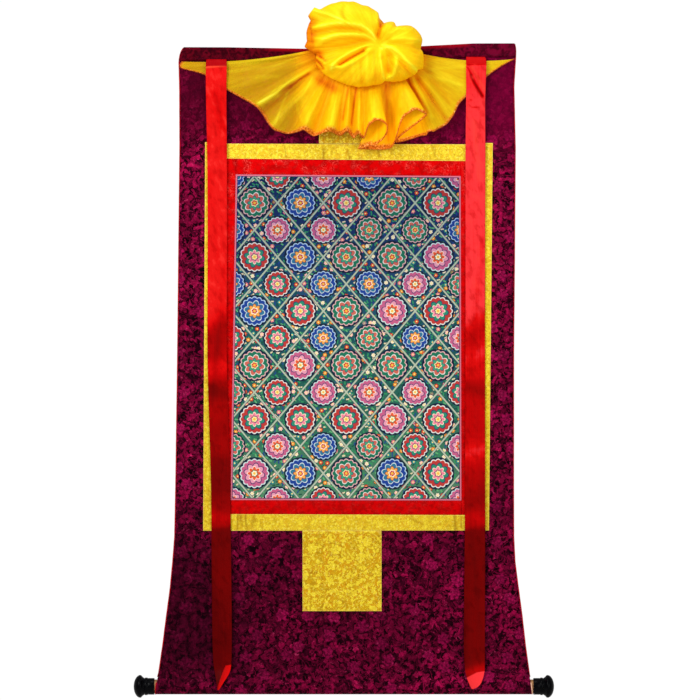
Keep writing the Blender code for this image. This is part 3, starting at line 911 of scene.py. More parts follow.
def refined(rows: Points, times: int, closed: bool = False) -> Points:
    """Put a row between each two by the four-point rule, which keeps the rows given.

    Args:
        rows: The rows, along the first axis.
        times: How many times over.
        closed: Whether the last row joins the first.

    Returns:
        The rows, about twice as many each time.
    """
    for _ in range(times):
        if closed:
            ring = np.concatenate([rows[-1:], rows, rows[:2]])
        else:
            ring = np.concatenate([2 * rows[:1] - rows[1:2], rows, 2 * rows[-1:] - rows[-2:-1]])
        middles = (9 * (ring[1:-2] + ring[2:-1]) - ring[:-3] - ring[3:]) / 16
        both = np.empty((len(rows) + len(middles), *rows.shape[1:]))
        both[0::2], both[1::2] = rows, middles
        rows = both
    return rows


def eased(value: Points, low: float, high: float) -> Points:
    """A soft step from 0 at low to 1 at high; low may be the greater."""
    share = np.clip((np.asarray(value, float) - low) / (high - low), 0.0, 1.0)
    return share * share * (3 - 2 * share)


@dataclass(frozen=True)
class Crumple:
    """Smooth random heights over a sheet, the same on each run."""

    seed: int
    across: int
    along: int
    height: float = 1.0

    def at(self, u: Points, v: Points) -> Points:
        """The heights, at most the crumple's own height up or down.

        Args:
            u: Places across, from 0 to 1, which join up at their ends.
            v: Places along, from 0 to 1.

        Returns:
            One height for each place.
        """
        lattice = np.random.default_rng(self.seed).uniform(-1, 1, (self.along + 2, self.across))
        row, column = np.clip(v, 0, 1) * self.along, (u % 1.0) * self.across
        r, c = np.floor(row).astype(int), np.floor(column).astype(int)
        fr, fc = row - r, column - c
        fr, fc = fr * fr * (3 - 2 * fr), fc * fc * (3 - 2 * fc)
        c0, c1 = c % self.across, (c + 1) % self.across
        low = lattice[r, c0] * (1 - fc) + lattice[r, c1] * fc
        high = lattice[r + 1, c0] * (1 - fc) + lattice[r + 1, c1] * fc
        return (low * (1 - fr) + high * fr) * self.height


@dataclass(frozen=True)
class Crease:
    """A soft ridge or trough along a line of (x, drop), in millimetres."""

    line: tuple[tuple[float, float], ...]
    height: float
    width: float

    def lift(self, x: Points, drop: Points) -> Points:
        """How far the crease lifts each place, in metres.

        Args:
            x: Places across, in metres.
            drop: Drops, in metres.

        Returns:
            One lift for each place.
        """
        nearest = np.full(np.shape(x), np.inf)
        for (x0, d0), (x1, d1) in zip(self.line, self.line[1:]):
            start, step = np.array([x0, d0]) / 1000, np.array([x1 - x0, d1 - d0]) / 1000
            share = ((x - start[0]) * step[0] + (drop - start[1]) * step[1]) / (step @ step)
            share = np.clip(share, 0, 1)
            away = np.hypot(x - start[0] - share * step[0], drop - start[1] - share * step[1])
            nearest = np.minimum(nearest, away)
        return self.height / 1000 * np.exp(-((nearest * 1000 / self.width) ** 2))


def creased(*rows: tuple[float, ...]) -> tuple[Crease, ...]:
    """Creases from rows of (height, width, x, drop, x, drop, ...), in millimetres."""
    return tuple(Crease(tuple(zip(row[2::2], row[3::2])), row[0], row[1]) for row in rows)


def table(kind: Callable[..., Any], *rows: tuple[float, ...]) -> tuple[Any, ...]:
    """Named rows from plain ones."""
    return tuple(kind(*row) for row in rows)


@dataclass(frozen=True)
class Hanging:
    """How the scroll hangs: it leans out from the wall below its top hem, and ripples a little."""

    sheet: float = 0.0015
    hem_drop: float = 0.027
    seam_drop: float = 1.225
    rod_drop: float = 1.252
    rod_axis: float = 0.0222
    gap: float = 0.0003
    ripple: float = 0.0007

    @property
    def lean(self) -> float:
        """The angle that the mount leans out by."""
        return math.atan((self.rod_axis - self.sheet / 2) / (self.seam_drop - self.hem_drop))

    def relief(self, x: Points, drop: Points) -> Points:
        """How far the rippling cloth stands proud, for the mount and all that is sewn on it.

        Args:
            x: Places across.
            drop: Drops below the top edge.

        Returns:
            One distance for each place.
        """
        x, drop = np.asarray(x, float), np.asarray(drop, float)
        calm = eased(drop, 0.16, 0.34) * eased(drop, 1.215, 1.10)
        wave = np.sin(x * 17 + 1.3 * np.sin(drop * 4.1)) + 0.7 * np.sin(x * 31 - drop * 5 + 0.8)
        wave = wave + 0.5 * np.sin(drop * 11 + x * 6)
        edge = np.exp(-(0.345 - np.abs(x)) / 0.022)
        flutter = edge * np.sin(drop * 58 + 2.1 * np.sin(drop * 13) + x * 9)
        return self.ripple * calm * (wave * 0.55 + np.clip(flutter, -1, 1) * 0.9)

    def place(self, x: Points, drop: Points, depth: Points, sewn: bool = False) -> Points:
        """Points in the frame's axes.

        Args:
            x: Places across.
            drop: Drops below the top edge.
            depth: Distances before the mount's front face.
            sewn: Whether the cloth follows the mount's own ripples.

        Returns:
            The points, with their axes last.
        """
        x, drop, depth = np.broadcast_arrays(*(np.asarray(a, float) for a in (x, drop, depth)))
        if sewn:
            depth = depth + self.relief(x, drop)
        out, up = -self.sheet - depth, self.hem_drop - drop
        sin, cos = math.sin(self.lean), math.cos(self.lean)
        return np.stack([x, out * cos + up * sin, up * cos - out * sin - self.hem_drop], axis=-1)


HANGING = Hanging()


class Outline(NamedTuple):
    """The mount's left and right edges, piping included, at one drop."""

    drop: float
    left: float
    right: float


MOUNT_OUTLINE = table(
    Outline,
    (0, -0.319, 0.3315), (0.012, -0.326, 0.334), (0.027, -0.3285, 0.3335), (0.08, -0.327, 0.33),
    (0.2, -0.3265, 0.3326), (0.4, -0.3285, 0.331), (0.6, -0.3305, 0.329), (0.86, -0.334, 0.3287),
    (0.96, -0.336, 0.329), (1.01, -0.34, 0.3315), (1.06, -0.3447, 0.338), (1.11, -0.3514, 0.3447),
    (1.17, -0.359, 0.3515), (1.225, -0.367, 0.359), (1.24, -0.371, 0.3615),
    (1.268, -0.3737, 0.3653),
)
TOP_EDGE_X = (-0.330, -0.230, -0.080, 0.020, 0.150, 0.220, 0.250, 0.335)
TOP_EDGE_RISE = (-0.0015, -0.0018, -0.0045, -0.0030, 0.0006, 0.0042, 0.0058, 0.0060)
TOP_EDGE_REACH = 0.100


def edge_at(drop: Points, side: Side) -> Points:
    """The mount's edge on one side, piping included."""
    edges = [row.left if side is Side.LEFT else row.right for row in MOUNT_OUTLINE]
    return np.interp(drop, [row.drop for row in MOUNT_OUTLINE], edges)


def rise_at(x: Points, drop: Points) -> Points:
    """How far the uneven top edge lifts the cloth near it."""
    near = np.clip(1 - np.maximum(0.0, np.asarray(drop) - HANGING.hem_drop) / TOP_EDGE_REACH, 0, 1)
    return np.interp(x, TOP_EDGE_X, TOP_EDGE_RISE) * near


# -------- making objects


def quads(numbers: Points) -> list[tuple[int, ...]]:
    """Quads over a grid of point numbers."""
    corners = (numbers[:-1, :-1], numbers[:-1, 1:], numbers[1:, 1:], numbers[1:, :-1])
    return [tuple(quad) for quad in np.stack([c.ravel() for c in corners], axis=1).tolist()]


def numbered(rows: int, columns: int, first: int = 0) -> Points:
    """The numbers of a grid of points that is stored row by row."""
    return first + np.arange(rows * columns).reshape(rows, columns)


def tube(numbers: Points) -> list[tuple[int, ...]]:
    """Quads over a grid of point numbers whose rows are closed rings."""
    return quads(np.concatenate([numbers, numbers[:, :1]], axis=1))


def linked(name: str, data: Any) -> bpy.types.Object:
    """A new object in the scene.

    Args:
        name: Its name.
        data: Its mesh, camera or light.

    Returns:
        The object.
    """
    obj = bpy.data.objects.new(name, data)
    bpy.context.scene.collection.objects.link(obj)
    return obj


class Bench:
    """Where pieces are made and reported."""

    def __init__(self) -> None:
        """Start with nothing made."""
        self.made: list[bpy.types.Object] = []

    def mesh(
        self,
        name: str,
        points: Points,
        faces: Sequence[tuple[int, ...]],
        marks: Mapping[str, Points] | None = None,
    ) -> bpy.types.Object:
        """An object at the origin, shaded smooth.

        Args:
            name: The object's name.
            points: Its points.
            faces: Its faces, by the numbers of their points.
            marks: Numbers for each point that the materials read, by name.

        Returns:
            The object.
        """
        data = bpy.data.meshes.new(name)
        data.from_pydata(np.reshape(points, (-1, 3)).tolist(), [], list(faces))
        for mark, values in (marks or {}).items():
            layer = data.attributes.new(mark, "FLOAT", "POINT")
            layer.data.foreach_set("value", np.ravel(values).astype(np.float32))
        data.shade_smooth()
        return linked(name, data)

    def thicken(self, obj: bpy.types.Object, thickness: float, even: bool = False) -> None:
        """Give an open sheet its thickness, half to each side.

        Args:
            obj: The sheet.
            thickness: Its thickness.
            even: Whether it holds in tight bends.
        """
        solid = obj.modifiers.new("thickness", "SOLIDIFY")
        solid.thickness = thickness
        solid.offset = 0
        solid.use_even_offset = even

    def soften(self, obj: bpy.types.Object, width: float) -> None:
        """Round the sharp edges of a sheet.

        Args:
            obj: The sheet.
            width: The width of the rounding.
        """
        bevel = obj.modifiers.new("soft_edge", "BEVEL")
        bevel.width = width
        bevel.segments = 2
        bevel.limit_method = "ANGLE"
        bevel.angle_limit = math.radians(50)

    def deliver(
        self,
        obj: bpy.types.Object,
        finish: bpy.types.Material,
        slot: Slot,
        replaces: Sequence[str] = (),
    ) -> None:
        """Dress a piece, hang it on the body and report it.

        Args:
            obj: The piece.
            finish: Its material.
            slot: The record's slot for it.
            replaces: The frame's nodes that it stands for.
        """
        obj.data.materials.clear()
        obj.data.materials.append(finish)
        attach(obj, BODY)
        if replaces:
            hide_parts(*replaces)
        self.made.append(obj)
        LOG.info("%s: %d points, %s", obj.name, len(obj.data.vertices), slot.value)


class Threading:
    """A Geometry Nodes tree that sews stitches along a path."""

    def __init__(self) -> None:
        """Build the tree."""
        self.tree = bpy.data.node_groups.new("stitch_row", "GeometryNodeTree")
        self.sockets: dict[str, str] = {}
        face = self.tree.interface
        face.new_socket("Geometry", in_out="INPUT", socket_type="NodeSocketGeometry")
        for name in ("Pitch", "Length", "Width", "Slant"):
            made = face.new_socket(name, in_out="INPUT", socket_type="NodeSocketFloat")
            self.sockets[name] = made.identifier
        made = face.new_socket("Thread", in_out="INPUT", socket_type="NodeSocketMaterial")
        self.sockets["Thread"] = made.identifier
        face.new_socket("Geometry", in_out="OUTPUT", socket_type="NodeSocketGeometry")
        self._wire(Graph(self.tree))

    def _wire(self, g: Graph) -> None:
        """Place one stitch at each step along the path, turned to it, and make them real.

        Args:
            g: The tree.
        """
        given = g.node("NodeGroupInput").outputs
        path = g.node("GeometryNodeMeshToCurve", inputs={0: given["Geometry"]})
        step = {"Curve": path, "Length": given["Pitch"]}
        even = g.node("GeometryNodeResampleCurve", {"mode": "LENGTH"}, step)
        way = g.node("GeometryNodeInputTangent")
        turn = g.node("FunctionNodeAlignRotationToVector", {"axis": "X"}, {"Vector": way})
        bead = g.node("GeometryNodeMeshUVSphere", inputs={"Segments": 6, "Rings": 4, "Radius": 0.5})
        size = g.vector(given["Length"], given["Width"], given["Width"])
        stitch = {"Points": even, "Instance": bead, "Rotation": turn, "Scale": size}
        laid = g.node("GeometryNodeInstanceOnPoints", inputs=stitch)
        slant = {"Instances": laid, "Rotation": g.vector(y=given["Slant"]), "Local Space": True}
        turned = g.node("GeometryNodeRotateInstances", inputs=slant)
        real = g.node("GeometryNodeRealizeInstances", inputs={0: turned})
        smooth = g.node("GeometryNodeSetShadeSmooth", inputs={"Geometry": real})
        finish = {"Geometry": smooth, "Material": given["Thread"]}
        dressed = g.node("GeometryNodeSetMaterial", inputs=finish)
        g.node("NodeGroupOutput", inputs={0: dressed})

    def sew(
        self,
        name: str,
        paths: Sequence[Points],
        thread: Thread,
        slot: Slot,
        pitch: float,
        size: tuple[float, float],
        slant: float = 0.0,
    ) -> None:
        """Sew rows of stitches, as one piece.

        Args:
            name: The new piece's name.
            paths: The rows' points.
            thread: The thread.
            slot: The record's slot for it.
            pitch: The step from stitch to stitch.
            size: A stitch's length and width.
            slant: How far each stitch is turned from its row, in radians.
        """
        finish = thread.material()
        data = bpy.data.meshes.new(f"{name}_path")
        edges, first = [], 0
        for path in paths:
            edges += [(first + i, first + i + 1) for i in range(len(path) - 1)]
            first += len(path)
        data.from_pydata(np.concatenate(paths).tolist(), edges, [])
        guide = linked(f"{name}_path", data)
        sewing = guide.modifiers.new("stitches", "NODES")
        sewing.node_group = self.tree
        values = {"Pitch": pitch, "Length": size[0], "Width": size[1], "Slant": slant}
        for key, value in values.items():
            sewing[self.sockets[key]] = value
        sewing[self.sockets["Thread"]] = finish
        graph = bpy.context.evaluated_depsgraph_get()
        real = bpy.data.meshes.new_from_object(guide.evaluated_get(graph))
        bpy.data.objects.remove(guide)
        BENCH.deliver(linked(name, real), finish, slot)


BENCH = Bench()
THREADING = Threading()


# -------- the mount


@dataclass
class Mount:
    """The brocade cloth with its top hem, its flare and the sleeve for the rod."""

    columns: int = 97
    hem_pocket: float = 0.0026
    hem_lip: float = 0.006
    lip_gap: float = 0.0004
    lip_bend: float = 0.0004
    thread_lift: float = 0.0001
    sleeve_radius: float = 0.0155
    piping_radius: float = 0.0012
    step: float = 0.009
    front_drops: tuple[float, ...] = (0.016, 0.012, 0.008)
    back_drops: tuple[float, ...] = (0.008, 0.012, 0.020)
    forward_rows: int = 13
    rim_low: tuple[float, float] = (0.0042, 0.0030)
    rim_left: tuple[float, float] = (-0.17, -0.13)
    rim_right: tuple[float, float] = (0.25, 0.23)
    cord_sides: int = 10
    cord_rows: int = 170
    hem_line: float = 0.0048
    seam_line: float = 0.003
    stitched: tuple[float, float, int] = (-0.318, 0.325, 120)
    pitch: float = 0.0046
    stitch: tuple[float, float] = (0.0032, 0.0006)

    @property
    def inset(self) -> float:
        """How far the cloth ends inside the outline, tucked into its piping."""
        return 1.4 * self.piping_radius

    def sleeve(self, steps: int = 36) -> Points:
        """The sleeve's line round the rod, as (distance from the wall, drop).

        Args:
            steps: How many steps go round.

        Returns:
            The points.
        """
        radius = self.sleeve_radius - HANGING.sheet / 2
        tangent = math.acos(radius / (HANGING.rod_drop - HANGING.seam_drop))
        angle = np.linspace(tangent, TAU - tangent, steps + 1)
        return np.stack(
            [HANGING.rod_axis + radius * np.sin(angle), HANGING.rod_drop - radius * np.cos(angle)],
            axis=1,
        )

    def out_at(self, drop: Points) -> Points:
        """How far the cloth's middle stands from the wall, above the sleeve."""
        below = np.maximum(0.0, np.asarray(drop, float) - HANGING.hem_drop)
        return HANGING.sheet / 2 + below * math.tan(HANGING.lean)

    def section(self) -> Points:
        """The cloth's line from the hem's lip to the end of the sleeve.

        Returns:
            The points, as (distance from the wall, drop).
        """
        back = HANGING.sheet / 2
        front = back + HANGING.sheet + self.hem_pocket
        fold = (front - back) / 2
        hem = HANGING.hem_drop
        angle = np.linspace(0, math.pi, 11)
        bend = [back + fold + fold * np.cos(angle), fold + back - fold * np.sin(angle)]
        drops = np.arange(hem + self.step, HANGING.seam_drop, self.step)
        plane = np.stack([self.out_at(drops), drops], axis=1)
        seam_gap = HANGING.sheet + self.lip_gap
        end = (HANGING.rod_axis - seam_gap, HANGING.seam_drop + 2 * HANGING.sheet)
        lip = back + HANGING.sheet + self.lip_gap
        return np.concatenate(
            [
                [(lip, hem), (front - self.lip_bend, hem - self.hem_lip / 2)],
                [(front, drop) for drop in (hem - self.hem_lip, *self.front_drops)],
                np.stack(bend, axis=1),
                [(back, drop) for drop in (*self.back_drops, hem)],
                plane,
                self.sleeve(),
                [end],
            ]
        )

    def build(self) -> None:
        """Build the cloth, its piping and its bound sleeve ends."""
        section = self.section()
        out, drop = section[:, :1], section[:, 1:]
        share = np.linspace(0, 1, self.columns)[None, :]
        left = edge_at(drop, Side.LEFT) + self.inset
        right = edge_at(drop, Side.RIGHT) - self.inset
        x = left + (right - left) * share
        out = out + HANGING.relief(x, drop)
        points = np.stack([x, -out, rise_at(x, drop) - drop], axis=-1)
        in_hem = (np.arange(len(section)) < self.forward_rows)[:, None] * np.ones_like(x)
        rim = eased(drop, *self.rim_low) * eased(x, *self.rim_left) * eased(x, *self.rim_right)
        marks = {"hem": in_hem, "rim": rim}
        obj = BENCH.mesh("brocade_mount_cloth", points, quads(numbered(*x.shape)), marks)
        BENCH.thicken(obj, HANGING.sheet, even=True)
        BENCH.deliver(obj, MaroonBrocade().material(), Slot.MAROON, ["brocade_mount"])
        self._bind()
        self._stitch()

    def _bind(self) -> None:
        """Pipe the side edges, and bind the ends of the sleeve."""
        red = RolledCord("red_piping_cloth", 0xB80816, 0x78040E).material()
        cream = RolledCord("cream_binding_cloth", 0xEFC0A2, 0xC08468).material()
        radius = self.piping_radius
        lowest = HANGING.rod_drop - self.sleeve_radius - 2 * (radius + HANGING.gap)
        drops = np.linspace(radius, lowest, self.cord_rows)
        for side in Side:
            x = edge_at(drops, side) - side.value * radius
            out = self.out_at(drops) + HANGING.relief(x, drops)
            path = np.stack([x, -out, rise_at(x, drops) - drops], axis=1)
            cord = self._cord(f"edge_piping_{side.word}", path)
            BENCH.deliver(cord, red, Slot.PIPING, [f"edge_binding_{side.word}"])
            legs = self.sleeve(48)
            x = edge_at(legs[:, 1], side) - side.value * radius
            path = np.stack([x, -legs[:, 0], -legs[:, 1]], axis=1)
            ring = self._cord(f"sleeve_end_{side.word}", path)
            finish = red if side is Side.LEFT else cream
            slot = Slot.PIPING if side is Side.LEFT else Slot.CREAM
            BENCH.deliver(ring, finish, slot, [f"sleeve_binding_{side.word}"])

    def _cord(self, name: str, path: Points) -> bpy.types.Object:
        """A thin rolled edge along a path, closed at both ends.

        Args:
            name: The piece's name.
            path: The points along its middle.

        Returns:
            The piece.
        """
        sides, rows = self.cord_sides, len(path)
        step = np.gradient(path, axis=0)
        step /= np.linalg.norm(step, axis=1, keepdims=True)
        across = np.cross(step, np.array([0.35, 1.0, 0.1]))
        across /= np.linalg.norm(across, axis=1, keepdims=True)
        up = np.cross(across, step)
        angle = (np.arange(sides) * TAU / sides)[None, :, None]
        swell = self.piping_radius * (1 + 0.06 * np.sin(np.arange(rows) * 1.9))
        ring = across[:, None] * np.cos(angle) + up[:, None] * np.sin(angle)
        points = path[:, None] + ring * swell[:, None, None]
        numbers = numbered(rows, sides)
        ends = [tuple(numbers[0, ::-1].tolist()), tuple(numbers[-1].tolist())]
        return BENCH.mesh(name, points, tube(numbers) + ends)

    def _stitch(self) -> None:
        """Sew the lower edge of the top hem, and the seam above the sleeve."""
        thread = Thread("maroon_thread", 0x5E1030, 0x2C0418)
        x = np.linspace(*self.stitched)
        drop = np.full_like(x, HANGING.hem_drop - self.hem_line)
        front = HANGING.sheet * 2 + self.hem_pocket + self.thread_lift
        hem = np.stack([x, np.full_like(x, -front), rise_at(x, drop) - drop], axis=1)
        seam = HANGING.place(x, HANGING.seam_drop - self.seam_line, 0.0, sewn=True)
        rows = [hem, seam]
        THREADING.sew("mount_stitches", rows, thread, Slot.MAROON, self.pitch, self.stitch)


# -------- sewn pieces


class Corner(NamedTuple):
    """A corner of a sewn piece."""

    x: float
    drop: float


@dataclass
class SewnCloth:
    """A flat piece of cloth sewn on the mount, from its four corners."""

    name: str
    corners: tuple[Corner, Corner, Corner, Corner]
    sheet: float = 0.0012
    cell: float = 0.009
    puff: float = 0.00012
    edge_radius: float = 0.0004
    # The trough depth at which the painted crease shade is darkest
    darkest_crease: float = 0.0002
    seam_step: float = 0.01
    creases: tuple[Crease, ...] = ()

    @property
    def points(self) -> list[Points]:
        """The corners, from the top left and round by the right."""
        return [np.array(corner) for corner in self.corners]

    def grid(self) -> tuple[Points, Points, Points]:
        """The places across, the drops and the distances from the nearest edge, over a grid.

        Returns:
            The three grids.
        """
        top_left, top_right, low_right, low_left = self.points
        wide = max(2, round(np.linalg.norm(top_right - top_left) / self.cell))
        tall = max(2, round(np.linalg.norm(low_left - top_left) / self.cell))
        u = np.linspace(0, 1, wide + 1)[None, :, None]
        v = np.linspace(0, 1, tall + 1)[:, None, None]
        top = top_left + (top_right - top_left) * u
        low = low_left + (low_right - low_left) * u
        place = top + (low - top) * v
        width, height = np.linalg.norm(low_right - low_left), np.linalg.norm(low_left - top_left)
        edge = np.minimum(np.minimum(u, 1 - u) * width, np.minimum(v, 1 - v) * height)
        return place[..., 0], place[..., 1], edge[..., 0]

    def build(self, finish: bpy.types.Material, slot: Slot, node: str = "") -> None:
        """Args:
            finish: Its material.
            slot: The record's slot.
            node: The frame's node that it replaces, if its own name doesn't tell.
        """
        x, drop, edge = self.grid()
        wave = np.sin(x * 310 + drop * 90) * np.sin(drop * 270 - x * 60)
        lift = sum((crease.lift(x, drop) for crease in self.creases), np.zeros_like(x))
        depth = HANGING.gap + self.sheet / 2 + self.puff * wave + lift
        points = HANGING.place(x, drop, depth, sewn=True)
        # The crease mark is painted shade in the troughs
        marks = {"edge": edge, "crease": np.clip(-lift / self.darkest_crease, 0, 1)}
        obj = BENCH.mesh(self.name, points, quads(numbered(*x.shape)), marks)
        BENCH.thicken(obj, self.sheet)
        BENCH.soften(obj, self.edge_radius)
        BENCH.deliver(obj, finish, slot, [node or self.name.removesuffix("_cloth")])

    def seam(self, inset: float, sides: str = "TRBL") -> list[Points]:
        """Rows for stitches along some of the edges, a little inside them.

        Args:
            inset: How far inside.
            sides: The first letters of top, right, bottom and left.

        Returns:
            The rows.
        """
        top_left, top_right, low_right, low_left = self.points
        down, right = np.array([0, inset]), np.array([inset, 0])
        lines = {
            "T": (top_left + right + down, top_right - right + down),
            "R": (top_right - right + down, low_right - right - down),
            "B": (low_left + right - down, low_right - right - down),
            "L": (top_left + right + down, low_left + right - down),
        }
        rows = []
        for side in sides:
            start, end = lines[side]
            steps = max(2, int(np.linalg.norm(end - start) / self.seam_step))
            place = start + (end - start) * np.linspace(0, 1, steps)[:, None]
            rows.append(HANGING.place(*place.T, HANGING.gap + self.sheet, sewn=True))
        return rows


class Line(NamedTuple):
    """A border line, as the corners of an uneven rectangle."""

    top_left: Corner
    top_right: Corner
    low_right: Corner
    low_left: Corner

    def edge(self, side: Side, drop: float) -> float:
        """Where the line's left or right edge is at a drop.

        Args:
            side: Which edge.
            drop: The drop.

        Returns:
            The place across.
        """
        start, end = self.top_left, self.low_left
        if side is Side.RIGHT:
            start, end = self.top_right, self.low_right
        return start.x + (end.x - start.x) * (drop - start.drop) / (end.drop - start.drop)

    def level(self, x: float, low: bool) -> float:
        """The drop of the line's top or bottom edge at a place across.

        Args:
            x: The place across.
            low: Whether it is the bottom edge.

        Returns:
            The drop.
        """
        start, end = (self.low_left, self.low_right) if low else (self.top_left, self.top_right)
        return start.drop + (end.drop - start.drop) * (x - start.x) / (end.x - start.x)


@dataclass
class Borders:
    """The yellow and the red border, the door panels and the painting."""

    outer: Line = Line(
        *table(Corner, (-0.276, 0.1905), (0.2875, 0.1922), (0.2797, 0.948), (-0.2795, 0.9485))
    )
    middle: Line = Line(
        *table(Corner, (-0.25, 0.22), (0.257, 0.2252), (0.2515, 0.9175), (-0.2535, 0.9155))
    )
    inner: Line = Line(
        *table(Corner, (-0.216, 0.251), (0.2247, 0.254), (0.2258, 0.8895), (-0.2258, 0.8885))
    )
    side_rise: float = 0.0028
    tab_bottom: tuple[float, float, float, float] = (0.9480, 1.1055, -0.0850, 0.0695)
    tab_top: tuple[float, float, float, float] = (0.1250, 0.1910, -0.0530, 0.0860)
    half: float = HANGING.gap / 2
    fine_cell: float = 0.0032
    picture_cell: float = 0.004
    yellow_inset: float = 0.0022
    red_inset: float = 0.0020
    pitch: float = 0.0042
    stitch: tuple[float, float] = (0.0030, 0.00055)
    creases: tuple[Crease, ...] = creased(
        (-0.3, 2.2, -211, 916, -212, 946), (-0.22, 1.8, -206, 918, -203, 940),
        (-0.25, 2, -197, 917, -194, 944), (-0.15, 2.4, -180, 920, -184, 941),
        (-0.3, 2.6, 212, 919, 214, 946), (-0.18, 1.8, 224, 918, 226, 943),
        (-0.12, 2.2, 128, 924, 150, 936), (-0.15, 2, -120, 196, -117, 219),
        (-0.25, 2.2, -43, 200, -44, 221), (-0.18, 2, 4, 203, 7, 222),
        (-0.16, 2.4, 60, 195, 66, 217), (-0.14, 2, 171, 197, 174, 214),
    )

    def build(self) -> None:
        """Build every sewn piece, and the stitches that hold them."""
        gold = GoldBrocade().material()
        red = RedBrocade().material()
        yellow = self._frame("yellow", self.outer, self.middle, self.side_rise)
        crimson = self._frame("red", self.middle, self.inner, 0.0)
        for piece in yellow:
            piece.creases = self.creases
            piece.cell = self.fine_cell
            piece.build(gold, Slot.YELLOW)
        for piece in crimson:
            piece.build(red, Slot.RED)
        tabs = self._tabs()
        figured = GoldBrocade("figured_gold_cloth", figure=0.0104, contrast=1.0).material()
        for piece in tabs:
            piece.build(figured, Slot.YELLOW)
        picture = self._picture()
        picture.build(PaintedCloth().material(), Slot.PAINTED, "picture_panel")
        self._stitch(yellow, crimson, tabs)

    def _frame(self, color: str, outer: Line, inner: Line, rise: float) -> list[SewnCloth]:
        """Four strips between two lines: the side strips run past the top and bottom.

        Args:
            color: The strips' colour, for their names.
            outer: The line outside.
            inner: The line inside.
            rise: How far the side strips stand above the top one.

        Returns:
            The strips.
        """
        made, half = [], self.half
        for side in Side:
            first, second = (outer, inner) if side is Side.LEFT else (inner, outer)
            across = outer.edge(side, 0.5)
            top = outer.level(across, low=False) + half - rise
            bottom = outer.level(across, low=True) - half
            lines = [(line.edge(side, top), line.edge(side, bottom)) for line in (first, second)]
            corners = (
                Corner(lines[0][0] + half, top),
                Corner(lines[1][0] - half, top),
                Corner(lines[1][1] - half, bottom),
                Corner(lines[0][1] + half, bottom),
            )
            made.append(SewnCloth(f"{color}_strip_{side.word}_cloth", corners))
        for end, high_line, low_line in (("top", outer, inner), ("bottom", inner, outer)):
            low = end == "bottom"
            ends = []
            for side in Side:
                x = inner.edge(side, inner.level(0.0, low))
                high = high_line.level(x, low) + half
                under = low_line.level(x, low) - half
                away = side.value * half
                ends.append([Corner(inner.edge(side, d) - away, d) for d in (high, under)])
            corners = (ends[0][0], ends[1][0], ends[1][1], ends[0][1])
            made.append(SewnCloth(f"{color}_strip_{end}_cloth", corners))
        return made

    def _tabs(self) -> list[SewnCloth]:
        """The square door panels below and above the border.

        Returns:
            The panels.
        """
        made = []
        for end, (top, bottom, left, right) in (("bottom", self.tab_bottom), ("top", self.tab_top)):
            top, bottom = top + self.half, bottom - self.half
            corners = table(Corner, (left, top), (right, top), (right, bottom), (left, bottom))
            made.append(SewnCloth(f"yellow_tab_{end}_cloth", corners))
        return made

    def _picture(self) -> SewnCloth:
        """The painted cloth inside both borders.

        Returns:
            The cloth.
        """
        half = self.half
        signs = ((1, 1), (-1, 1), (-1, -1), (1, -1))
        corners = tuple(
            Corner(corner.x + across * half, corner.drop + down * half)
            for corner, (across, down) in zip(self.inner, signs)
        )
        return SewnCloth("painted_picture_cloth", corners, cell=self.picture_cell)

    def _stitch(
        self, yellow: Sequence[SewnCloth], crimson: Sequence[SewnCloth], tabs: Sequence[SewnCloth]
    ) -> None:
        """Sew the borders and the door panels on, close to their edges.

        Args:
            yellow: The outer strips.
            crimson: The inner strips.
            tabs: The door panels.
        """
        gold = Thread("gold_thread", 0xE8C030, 0xA87C10)
        scarlet = Thread("red_thread", 0xC80810, 0x7C0208)
        rows = [row for piece in yellow for row in piece.seam(self.yellow_inset)]
        rows += tabs[0].seam(self.yellow_inset, "RBL")
        THREADING.sew("yellow_stitches", rows, gold, Slot.YELLOW, self.pitch, self.stitch)
        rows = [row for piece in crimson for row in piece.seam(self.red_inset)]
        THREADING.sew("red_stitches", rows, scarlet, Slot.RED, self.pitch, self.stitch)


# -------- ribbons


class RibbonRow(NamedTuple):
    """A ribbon's edges at one drop, the depth of its middle, and its right edge's lead."""

    drop: float
    left: float
    right: float
    depth: float
    turn: float


class Bend(NamedTuple):
    """A soft bend of a ribbon: its drop, its reach, how much it shades, and its slant."""

    drop: float
    reach: float
    shade: float
    slant: float = 0.0


